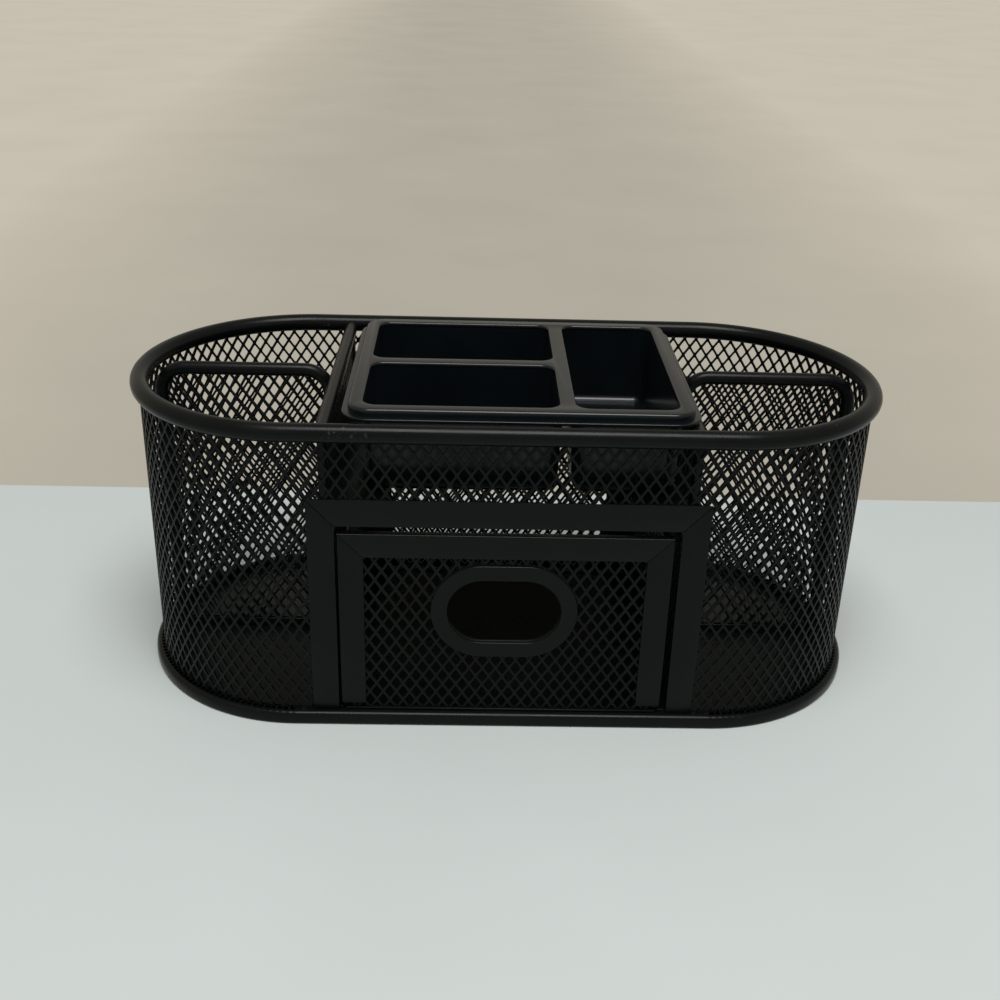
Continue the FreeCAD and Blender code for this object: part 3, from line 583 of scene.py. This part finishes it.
def rounded_plane(name, x_low, x_high, y_low, y_high, radius, z, segments):
    """Flat rectangle with rounded corners."""
    bpy.ops.object.select_all(action="DESELECT")
    middle = ((x_low + x_high) / 2, (y_low + y_high) / 2, z)
    bpy.ops.mesh.primitive_plane_add(size=1, location=middle)
    piece = named(name)
    piece.scale = (x_high - x_low, y_high - y_low, 1)
    settle(piece)
    bpy.ops.object.mode_set(mode="EDIT")
    bpy.ops.mesh.select_all(action="SELECT")
    bpy.ops.mesh.bevel(affect="VERTICES", offset=radius, segments=segments, profile=0.5)
    bpy.ops.mesh.remove_doubles(threshold=corner_merge)
    bpy.ops.object.mode_set(mode="OBJECT")
    return piece


def oval(name, grow, z, segments):
    """The basket's plan, grown outwards from the middle of its wall."""
    depth = end_radius + grow
    length = straight_half + depth
    return rounded_plane(name, -length, length, -depth, depth, depth * full_round, z, segments)


def keep_outline(piece):
    """Take the face out of a flat piece and leave its outline."""
    alone(piece)
    bpy.ops.object.mode_set(mode="EDIT")
    bpy.ops.mesh.select_all(action="SELECT")
    bpy.ops.mesh.delete(type="ONLY_FACE")
    bpy.ops.object.mode_set(mode="OBJECT")


def as_path(piece):
    """Turn the outline of a flat piece into a path."""
    keep_outline(piece)
    bpy.ops.object.convert(target="CURVE")
    path = bpy.context.object
    path.data.dimensions = "2D"
    return path


print("ends of the oval have radius", end_radius)

# %% Bend the wall
wall_in_band = 2 * MM
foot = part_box("base_band")[1].z - wall_in_band
rows = math.ceil((rim_height - foot) / cell_height) + 1
wall_mesh = mesh_sheet_of("wall_mesh", cells_round, rows)
alone(wall_mesh)
bpy.ops.transform.translate(value=(cell_width / 2, 0, foot))
settle(wall_mesh)
oval_path = as_path(oval("oval_path", grow=0, z=0, segments=32))
bend = wall_mesh.modifiers.new("bend", "CURVE")
bend.object = oval_path
bend.deform_axis = "POS_X"
finish_modifiers(wall_mesh)
bpy.data.objects.remove(oval_path)
print("wall bent", len(wall_mesh.data.vertices), [round(v, 4) for v in wall_mesh.dimensions])

# %% Trim the wall and cut the drawer's opening
seam_merge = 0.00006
trim(wall_mesh, (0, 0, foot), (0, 0, -1))
trim(wall_mesh, (0, 0, rim_height), (0, 0, 1))
leg_low, leg_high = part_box("left_surround_leg")
head_low, head_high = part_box("surround_head")
opening_half = -(leg_low.x + leg_high.x) / 2
opening_top = (head_low.z + head_high.z) / 2


def in_opening(face):
    middle = face.calc_center_median()
    return middle.y < 0 and abs(middle.x) < opening_half and middle.z < opening_top


alone(wall_mesh)
bpy.ops.object.mode_set(mode="EDIT")
pick_faces(wall_mesh, in_opening)
bpy.ops.mesh.delete(type="FACE")
bpy.ops.mesh.select_all(action="SELECT")
bpy.ops.mesh.remove_doubles(threshold=seam_merge)
bpy.ops.object.mode_set(mode="OBJECT")
thicken(wall_mesh)
coat(wall_mesh, mesh_coat)
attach(wall_mesh, "basket")
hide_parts("left_wall_mesh", "right_wall_mesh", "front_wall_mesh", "rear_wall_mesh")
print("wall has", count_triangles(wall_mesh), "triangles")

# %% [markdown]
# ## Flat panels
# The dividers and the drawer's sides are flat pieces of the same mesh, sheared to size. So each
# starts from the same sheet, is cut on four sides, and is turned to where it stands.
# %% Cut a panel
below_foot = 0.6  # how far below the cut the first row's middle lies, in diamonds


def mesh_panel(name, width, height, shift=0.0):
    """Flat panel in the XZ plane, centred on X, its foot at zero height."""
    columns = math.ceil(width / cell_width) + 2
    rows = math.ceil(height / cell_height) + 2
    panel = mesh_sheet_of(name, columns, rows)
    alone(panel)
    start = (-columns * cell_width / 2 + shift, 0, -cell_height * below_foot)
    bpy.ops.transform.translate(value=start)
    settle(panel)
    trim(panel, (0, 0, 0), (0, 0, -1))
    trim(panel, (0, 0, height), (0, 0, 1))
    trim(panel, (width / 2, 0, 0), (1, 0, 0))
    trim(panel, (-width / 2, 0, 0), (-1, 0, 0))
    return panel


def stand_panel(panel, x, y, z, along_y=False):
    """Turn and place a panel, then settle it."""
    if along_y:
        panel.rotation_euler = (0, 0, math.pi / 2)
    panel.location = (x, y, z)
    settle(panel)


def dress_mesh(panel, body, *nodes):
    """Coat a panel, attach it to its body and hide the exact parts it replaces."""
    coat(panel, mesh_coat)
    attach(panel, body)
    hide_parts(*nodes)


print("a panel's first row is centred", below_foot * cell_height, "below its foot")

# %% Side dividers
for side in ("left", "right"):
    node = side + "_side_divider_mesh"
    low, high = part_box(node)
    panel = mesh_panel(side + "_side_divider", high.y - low.y, high.z - low.z)
    stand_panel(panel, (low.x + high.x) / 2, (low.y + high.y) / 2, low.z, along_y=True)
    thicken(panel)
    dress_mesh(panel, "basket", node)
    print(panel.name, count_triangles(panel))

# %% End dividers, their upper corners cut to follow the bent rod
end_rod_bend = 11 * MM
pattern_shift = 1.3 * MM
corner_cuts = (22.5, 45, 67.5)
for side in ("left", "right"):
    node = side + "_end_divider_mesh"
    low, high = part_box(node)
    panel = mesh_panel(side + "_end_divider", high.x - low.x, high.z - low.z, pattern_shift)
    half, top = (high.x - low.x) / 2, high.z - low.z
    for way in (-1, 1):
        centre = Vector((way * (half - end_rod_bend), 0, top - end_rod_bend))
        for degrees in corner_cuts:
            turn = math.radians(degrees)
            outwards = Vector((way * math.cos(turn), 0, math.sin(turn)))
            trim(panel, centre + outwards * end_rod_bend, outwards)
    stand_panel(panel, (low.x + high.x) / 2, (low.y + high.y) / 2, low.z)
    thicken(panel)
    dress_mesh(panel, "basket", node)
    print(panel.name, count_triangles(panel))

# %% Drawer panels
for side in ("left", "right"):
    node = side + "_drawer_side_mesh"
    low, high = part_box(node)
    panel = mesh_panel(side + "_drawer_side", high.y - low.y, high.z - low.z)
    stand_panel(panel, (low.x + high.x) / 2, (low.y + high.y) / 2, low.z, along_y=True)
    thicken(panel)
    dress_mesh(panel, "drawer", node)
    print(panel.name, count_triangles(panel))
low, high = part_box("drawer_rear_mesh")
panel = mesh_panel("drawer_rear", high.x - low.x, high.z - low.z)
stand_panel(panel, (low.x + high.x) / 2, (low.y + high.y) / 2, low.z)
thicken(panel)
dress_mesh(panel, "drawer", "drawer_rear_mesh")
print(panel.name, count_triangles(panel))

# %% Drawer front, with the finger hole cut out under the ring
ring_low, ring_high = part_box("finger_ring")
ring_centre = (ring_low + ring_high) / 2
low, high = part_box("drawer_front_mesh")
front_panel = mesh_panel("drawer_front", high.x - low.x, high.z - low.z)
stand_panel(front_panel, (low.x + high.x) / 2, (low.y + high.y) / 2, low.z)
ring_band = 7 * MM
hole_half_height = (ring_high.z - ring_low.z) / 2 - ring_band
hole_straight = (ring_high.x - ring_low.x - (ring_high.z - ring_low.z)) / 2
cut_back = hole_half_height + ring_band / 2


def from_hole_middle(place):
    """Distance in the XZ plane from the straight line through the middle of the finger hole."""
    x = max(0.0, abs(place.x - ring_centre.x) - hole_straight)
    return math.hypot(x, place.z - ring_centre.z)


alone(front_panel)
bpy.ops.object.mode_set(mode="EDIT")
pick_faces(front_panel, lambda face: from_hole_middle(face.calc_center_median()) < cut_back)
bpy.ops.mesh.delete(type="FACE")
bpy.ops.object.mode_set(mode="OBJECT")
thicken(front_panel)
dress_mesh(front_panel, "drawer", "drawer_front_mesh")
print("drawer front has", count_triangles(front_panel), "triangles")

# %% [markdown]
# ## Rolled tubes
# The rim and the rods on the dividers are round tube. The rim and the end rods are bent. They could
# be bent from a cylinder, but a path with a round bevel is simpler: the path holds the bend, and
# the bevel holds the diameter. The side rods are straight, and a cylinder does for them. The exact
# tubes also have the slot that grips the mesh. It faces the mesh and is hardly seen, so it is left
# out here, and these tubes are round all the way.
# %% Make a tube along a path


def tube_along(piece, radius, closed):
    """Turn the outline of a flat piece into a tube."""
    alone(piece)
    bpy.ops.object.convert(target="CURVE")
    path = bpy.context.object
    path.data.dimensions = "3D"
    path.data.bevel_depth = radius
    path.data.bevel_resolution = 8
    path.data.use_fill_caps = not closed
    bpy.ops.object.convert(target="MESH")
    tube = bpy.context.object
    point_outwards(tube)
    smooth_by_angle(tube, degrees=50)
    return tube


def dress(piece, material, slot, body, *nodes):
    """Coat a piece, attach it to its body and hide the exact parts it replaces; slot is not used.
    """
    coat(piece, material)
    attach(piece, body)
    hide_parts(*nodes)


print("tubes follow paths; the rim's radius is", rim_radius)

# %% Rim
rim_outline = oval("rim", grow=0, z=rim_height, segments=40)
keep_outline(rim_outline)
rim = tube_along(rim_outline, rim_radius, closed=True)
dress(rim, tube_coat, "tube_steel", "basket", "rim_tube")
print("rim", [round(v, 4) for v in rim.dimensions], count_triangles(rim))

# %% Rods on the side dividers
rod_radius = 3 * MM
for side in ("left", "right"):
    node = side + "_side_divider_rod"
    low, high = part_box(node)
    bpy.ops.object.select_all(action="DESELECT")
    centre = ((low.x + high.x) / 2, (low.y + high.y) / 2, high.z - rod_radius)
    length = high.y - low.y
    bpy.ops.mesh.primitive_cylinder_add(
        vertices=36, radius=rod_radius, depth=length, location=centre, rotation=(math.pi / 2, 0, 0)
    )
    rod = named(side + "_divider_rod")
    settle(rod)
    smooth_by_angle(rod)
    dress(rod, tube_coat, "tube_steel", "basket", node)
    print(rod.name, "length", length)

# %% Bent rods on the end dividers
for side in ("left", "right"):
    node = side + "_end_divider_rod"
    low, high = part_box(node)
    x_low, x_high = low.x + rod_radius, high.x - rod_radius
    z_low, z_high = low.z, high.z - rod_radius
    middle = ((x_low + x_high) / 2, (low.y + high.y) / 2, (z_low + z_high) / 2)
    bpy.ops.object.select_all(action="DESELECT")
    bpy.ops.mesh.primitive_plane_add(size=1, rotation=(math.pi / 2, 0, 0), location=middle)
    arch = named(side + "_end_rod")
    arch.scale = (x_high - x_low, z_high - z_low, 1)
    settle(arch)
    bpy.ops.object.mode_set(mode="EDIT")
    shape = bmesh.from_edit_mesh(arch.data)
    bpy.ops.mesh.select_mode(type="VERT")
    for vert in shape.verts:
        vert.select_set(vert.co.z > z_low + MM)
    shape.select_flush(True)
    bpy.ops.mesh.bevel(affect="VERTICES", offset=end_rod_bend, segments=14, profile=0.5)
    pick_edges(arch, lambda e: edge_middle(e).z < z_low + MM)
    bpy.ops.mesh.delete(type="EDGE")
    bpy.ops.object.mode_set(mode="OBJECT")
    rod = tube_along(arch, rod_radius, closed=False)
    rod.name = side + "_end_rod"
    dress(rod, tube_coat, "tube_steel", "basket", node)
    print(rod.name, [round(v, 4) for v in rod.dimensions])

# %% [markdown]
# ## Folded steel
# Everything flat is sheet, folded on a press. A folded edge is never sharp: it has a small round
# that picks up a thin line of light. The exact parts already have the right outline, so a copy of
# each is merged into plain faces and only its edges are rounded.
# %% Round the edges of a folded part


def merged_copy(node, name):
    """Copy an exact part and clear away its loose triangles."""
    alone(parts[node])
    bpy.ops.object.duplicate()
    piece = bpy.context.object
    piece.parent = None
    for key in list(piece.keys()):
        del piece[key]
    piece.name = name
    piece.data.name = name
    bpy.ops.object.mode_set(mode="EDIT")
    bpy.ops.mesh.select_all(action="SELECT")
    bpy.ops.mesh.remove_doubles(threshold=same_point)
    bpy.ops.mesh.dissolve_limited(angle_limit=math.radians(1))
    bpy.ops.mesh.normals_make_consistent(inside=False)
    bpy.ops.object.mode_set(mode="OBJECT")
    return piece


def round_edges(piece, radius):
    """Give every sharp edge a small round."""
    edges = piece.modifiers.new("cut edges", "BEVEL")
    edges.width = radius
    edges.segments = 2
    edges.limit_method = "ANGLE"
    edges.angle_limit = math.radians(40)
    finish_modifiers(piece)
    smooth_by_angle(piece, degrees=30)


print("folded parts can be copied and rounded")

# %% Surround of the drawer's opening and frame of its front
frames = {
    "surround_head": ("basket", 0.3),
    "left_surround_leg": ("basket", 0.3),
    "right_surround_leg": ("basket", 0.3),
    "drawer_front_head": ("drawer", 0.12),
    "left_front_strip": ("drawer", 0.12),
    "right_front_strip": ("drawer", 0.12),
}
for node, (body, radius) in frames.items():
    piece = merged_copy(node, node + "_folded")
    round_edges(piece, radius * MM)
    dress(piece, strip_coat, "strip_steel", body, node)
print(len(frames), "strips round the drawer's opening and front")

# %% The other folded parts
folded = {
    "left_side_divider_front_binding": ("basket", 0.25),
    "right_side_divider_front_binding": ("basket", 0.25),
    "left_side_divider_rear_binding": ("basket", 0.25),
    "right_side_divider_rear_binding": ("basket", 0.25),
    "left_end_divider_foot": ("basket", 0.2),
    "right_end_divider_foot": ("basket", 0.2),
    "left_drawer_runner": ("basket", 0.2),
    "right_drawer_runner": ("basket", 0.2),
    "left_tray_rail": ("basket", 0.2),
    "right_tray_rail": ("basket", 0.2),
    "drawer_stop": ("basket", 0.2),
    "drawer_floor": ("drawer", 0.2),
    "left_drawer_side_hem": ("drawer", 0.25),
    "right_drawer_side_hem": ("drawer", 0.25),
    "drawer_rear_hem": ("drawer", 0.25),
    "left_rear_strip": ("drawer", 0.2),
    "right_rear_strip": ("drawer", 0.2),
}
for node, (body, radius) in folded.items():
    piece = merged_copy(node, node + "_folded")
    round_edges(piece, radius * MM)
    dress(piece, strip_coat, "strip_steel", body, node)
print(len(folded), "folded pieces rounded")

# %% [markdown]
# ## Base
# The foot of the wall sits in a band rolled from thicker strip, its outer face rounded at the top
# and at the foot, and the floor sheet lies inside it, a little above the table. A section swept
# round an oval would do. An inset oval, pulled up, keeps its inner wall upright and leaves just two
# edges to round.
# %% Base band
band_top_round = 2.4 * MM
band_foot_round = 1.2 * MM
near = 0.1 * MM
band_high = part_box("base_band")[1]
band_out = band_high.y - end_radius
band_in = 1.6 * MM
base_ring = oval("base_ring", grow=band_out, z=0, segments=40)
bpy.ops.object.mode_set(mode="EDIT")
bpy.ops.mesh.select_all(action="SELECT")
bpy.ops.mesh.inset(thickness=band_out + band_in, depth=0, use_even_offset=True)
bpy.ops.mesh.delete(type="FACE")
bpy.ops.mesh.select_all(action="SELECT")
bpy.ops.mesh.extrude_region_move(TRANSFORM_OT_translate={"value": (0, 0, band_high.z)})
bpy.ops.object.mode_set(mode="OBJECT")
point_outwards(base_ring)


def level_outer_edge(edge, z):
    """Whether an edge runs level along the band's outer face at a height."""
    place = edge_middle(edge)
    along = max(0.0, abs(place.x) - straight_half)
    level = abs(edge.verts[0].co.z - edge.verts[1].co.z) < near
    return level and abs(place.z - z) < near and math.hypot(along, place.y) > end_radius


alone(base_ring)
bpy.ops.object.mode_set(mode="EDIT")
pick_edges(base_ring, lambda edge: level_outer_edge(edge, band_high.z))
bpy.ops.mesh.bevel(affect="EDGES", offset=band_top_round, segments=5, profile=0.5)
pick_edges(base_ring, lambda edge: level_outer_edge(edge, 0.0))
bpy.ops.mesh.bevel(affect="EDGES", offset=band_foot_round, segments=4, profile=0.5)
bpy.ops.object.mode_set(mode="OBJECT")
smooth_by_angle(base_ring, degrees=40)
dress(base_ring, tube_coat, "strip_steel", "basket", "base_band")
print("base ring", [round(v, 4) for v in base_ring.dimensions], count_triangles(base_ring))

# %% Floor sheet
coat(parts["base_floor"], floor_coat)

# %% [markdown]
# ## Finger ring
# A grommet lines the finger hole: a flat ring on the front and a second one behind the mesh. In the
# exact parts the front ring is a thin plate with a narrow collar that goes back through the mesh.
# Here it is one plate as deep as both, which looks the same from the front. Each plate could be a
# disc with a hole cut out; an inset keeps the band equally wide all round. Its edges are rolled, so
# that the edge of the hole catches the light.
# %% Model both rings


def grommet_plate(name, node, roll):
    """Flat ring with rolled edges that fills the box of an exact ring."""
    low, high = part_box(node)
    radius = (high.z - low.z) / 2
    plate = rounded_plane(name, low.x, high.x, low.z, high.z, radius * full_round, 0, 20)
    bpy.ops.object.mode_set(mode="EDIT")
    bpy.ops.mesh.select_all(action="SELECT")
    bpy.ops.mesh.inset(thickness=ring_band, depth=0, use_even_offset=True)
    bpy.ops.mesh.delete(type="FACE")
    bpy.ops.mesh.select_all(action="SELECT")
    bpy.ops.mesh.extrude_region_move(TRANSFORM_OT_translate={"value": (0, 0, high.y - low.y)})
    bpy.ops.object.mode_set(mode="OBJECT")
    plate.rotation_euler = (math.pi / 2, 0, 0)
    plate.location = (0, high.y, 0)
    settle(plate)
    point_outwards(plate)
    edges = plate.modifiers.new("rolled edges", "BEVEL")
    edges.width = roll
    edges.segments = 4
    edges.limit_method = "ANGLE"
    edges.angle_limit = math.radians(50)
    finish_modifiers(plate)
    smooth_by_angle(plate, degrees=40)
    return plate


front_ring = grommet_plate("front_ring", "finger_ring", roll=0.6 * MM)
dress(front_ring, ring_coat, "ring_steel", "drawer", "finger_ring")
rear_ring = grommet_plate("rear_ring", "finger_ring_back", roll=0.35 * MM)
dress(rear_ring, ring_coat, "ring_steel", "drawer", "finger_ring_back")

# %% [markdown]
# ## The moulded tray
# The tray is one moulding: a lip with a small flange below it, and three cups whose walls lean so
# that it leaves its mould. Corners, lip and cups are round. One repeated inset does all of that:
# each step moves a face in and along its normal a little. For a cup the steps follow a quarter
# circle at the mouth, a straight leaning wall and another quarter circle at the floor. The cups'
# outsides are joined to the lip, and their insides are cut out of it.
# %% Steps of a rounded profile


def corner_steps(radius, steps):
    """Steps (in, along) along a quarter round, upright at first and flat at the end."""
    points = []
    for step in range(steps + 1):
        turn = math.pi / 2 * step / steps
        points.append((radius * (1 - math.cos(turn)), radius * math.sin(turn)))
    return [(b[0] - a[0], b[1] - a[1]) for a, b in zip(points, points[1:])]


def mouth_steps(radius, steps):
    """Steps (in, along) that roll over a mouth's edge, flat at first and upright at the end."""
    turns = [math.pi / 2 * step / steps for step in range(steps + 1)]
    points = [(radius * math.sin(turn), radius * (1 - math.cos(turn))) for turn in turns]
    return [(b[0] - a[0], b[1] - a[1]) for a, b in zip(points, points[1:])]


def step_face(steps):
    """Inset the selected face again and again, each time moving it along its normal."""
    for inwards, along in steps:
        bpy.ops.mesh.inset(thickness=inwards, depth=along, use_even_offset=True)


print("steps of a 1 mm round in two", corner_steps(1 * MM, 2))

# %% Lip, skirt and flange
tray_low, tray_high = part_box("pen_tray")
flange_out = 2.6 * MM
flange_thick = 1.3 * MM
tray_wall = 1.6 * MM
lip_roll = 1.3 * MM
lip_top = tray_high.z
lip_height = 4.6 * MM
lip_foot = lip_top - lip_height
lip_corner = 9 * MM
flange_round = 0.4 * MM
flange_corner = lip_corner + flange_out
tray = rounded_plane(
    "tray", tray_low.x, tray_high.x, tray_low.y, tray_high.y, flange_corner, lip_foot, segments=14
)
bpy.ops.object.mode_set(mode="EDIT")
bpy.ops.mesh.select_all(action="SELECT")
flange_side = flange_thick - flange_round
bpy.ops.mesh.extrude_region_move(TRANSFORM_OT_translate={"value": (0, 0, flange_side)})
step_face(corner_steps(flange_round, 3))
step_face([(flange_out - flange_round, 0), (0, lip_top - lip_foot - flange_thick - lip_roll)])
step_face(corner_steps(lip_roll, 5))
bpy.ops.object.mode_set(mode="OBJECT")
point_outwards(tray)


def lip_underside(face):
    same_level = 0.05 * MM
    return abs(face.calc_center_median().z - lip_foot) < same_level and face.normal.z < -0.9


alone(tray)
bpy.ops.object.mode_set(mode="EDIT")
pick_faces(tray, lip_underside)
step_face([(flange_out + tray_wall, 0), (0, -(lip_top - lip_foot - tray_wall))])
bpy.ops.object.mode_set(mode="OBJECT")
print("lip", [round(v, 4) for v in tray.dimensions], count_triangles(tray))

# %% [markdown]
# ## Cups
# A cup's hollow is cut by a plug that has the shape of what the cup would hold: wide at the mouth,
# leaning walls, a rounded floor. The outside of its wall is a second, larger plug that is joined on
# first.
# %% Make the plugs
cup_draft = math.tan(math.radians(2))
cup_floor = tray_low.z + tray_wall
mouth_roll = 0.9 * MM
floor_round = 3.2 * MM
cup_corner = 6 * MM
plug_cap = 1 * MM
wall_start = lip_foot + 2.6 * MM


def cup_plug(name, plan, grow, floor, roll, round_low, start):
    """Closed plug in the shape of a cup; grow makes it the outside of the cup's wall."""
    x_low, x_high, y_low, y_high = plan
    out = grow + roll
    x_low, x_high, y_low, y_high = x_low - out, x_high + out, y_low - out, y_high + out
    plug = rounded_plane(name, x_low, x_high, y_low, y_high, cup_corner + out, start, segments=10)
    bpy.ops.object.mode_set(mode="EDIT")
    bpy.ops.mesh.select_all(action="SELECT")
    drop = start - lip_top if roll else plug_cap
    bpy.ops.mesh.extrude_region_move(TRANSFORM_OT_translate={"value": (0, 0, -drop)})
    bpy.ops.mesh.normals_make_consistent(inside=False)
    depth = start - drop - floor - roll - round_low
    if roll:
        step_face(mouth_steps(roll, 4))
    step_face([(depth * cup_draft, depth)])
    step_face(corner_steps(round_low, 7))
    bpy.ops.object.mode_set(mode="OBJECT")
    point_outwards(plug)
    return plug


def join_or_cut(piece, tool, operation):
    """Join a tool to a piece or cut it out of the piece, and remove the tool."""
    change = piece.modifiers.new(operation.lower(), "BOOLEAN")
    change.operation = operation
    change.solver = "EXACT"
    change.object = tool
    finish_modifiers(piece)
    bpy.data.objects.remove(tool)


print("cup floors at", cup_floor, "draft", cup_draft)

# %% Plan of the cups
lip_x_low, lip_x_high = tray_low.x + flange_out, tray_high.x - flange_out
lip_y_low, lip_y_high = tray_low.y + flange_out, tray_high.y - flange_out
margin = 6.0 * MM
cup_bar = 6.6 * MM
right_cup_width = 42.5 * MM
right_low = lip_x_high - margin - right_cup_width
left_high = right_low - cup_bar
middle_y = (lip_y_low + lip_y_high) / 2
cup_plans = {
    "front_left": (lip_x_low + margin, left_high, lip_y_low + margin, middle_y - cup_bar / 2),
    "rear_left": (lip_x_low + margin, left_high, middle_y + cup_bar / 2, lip_y_high - margin),
    "right": (right_low, lip_x_high - margin, lip_y_low + margin, lip_y_high - margin),
}
print(len(cup_plans), "cups, the bar between them", cup_bar)

# %% Join the cups' walls, then hollow them
wall_low_round = floor_round + tray_wall
wall_steps = {"grow": tray_wall, "floor": tray_low.z, "roll": 0, "round_low": wall_low_round}
hollow_steps = {"grow": 0, "floor": cup_floor, "roll": mouth_roll, "round_low": floor_round}
for cup_name, plan in cup_plans.items():
    wall = cup_plug(cup_name + "_wall", plan, start=wall_start, **wall_steps)
    join_or_cut(tray, wall, "UNION")
for cup_name, plan in cup_plans.items():
    hollow = cup_plug(cup_name + "_hollow", plan, start=lip_top + plug_cap, **hollow_steps)
    join_or_cut(tray, hollow, "DIFFERENCE")
    print(cup_name, count_triangles(tray))
point_outwards(tray)
smooth_by_angle(tray, degrees=32)
dress(tray, tray_plastic, "tray_plastic", "tray", "pen_tray")
print("tray", [round(v, 4) for v in tray.dimensions], "lip top", lip_top, count_triangles(tray))

# %% [markdown]
# ## Both boxes
# Both boxes, of the exact model and of the dressed one, are printed, so that they can be compared.
# The dressed model has to stay inside the exact one.
# %% Print both boxes
dressed_box = [list(corner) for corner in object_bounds()]
for name, box in (("exact", plain_box), ("dressed", dressed_box)):
    print(name, [[round(1000 * value, 2) for value in corner] for corner in box])
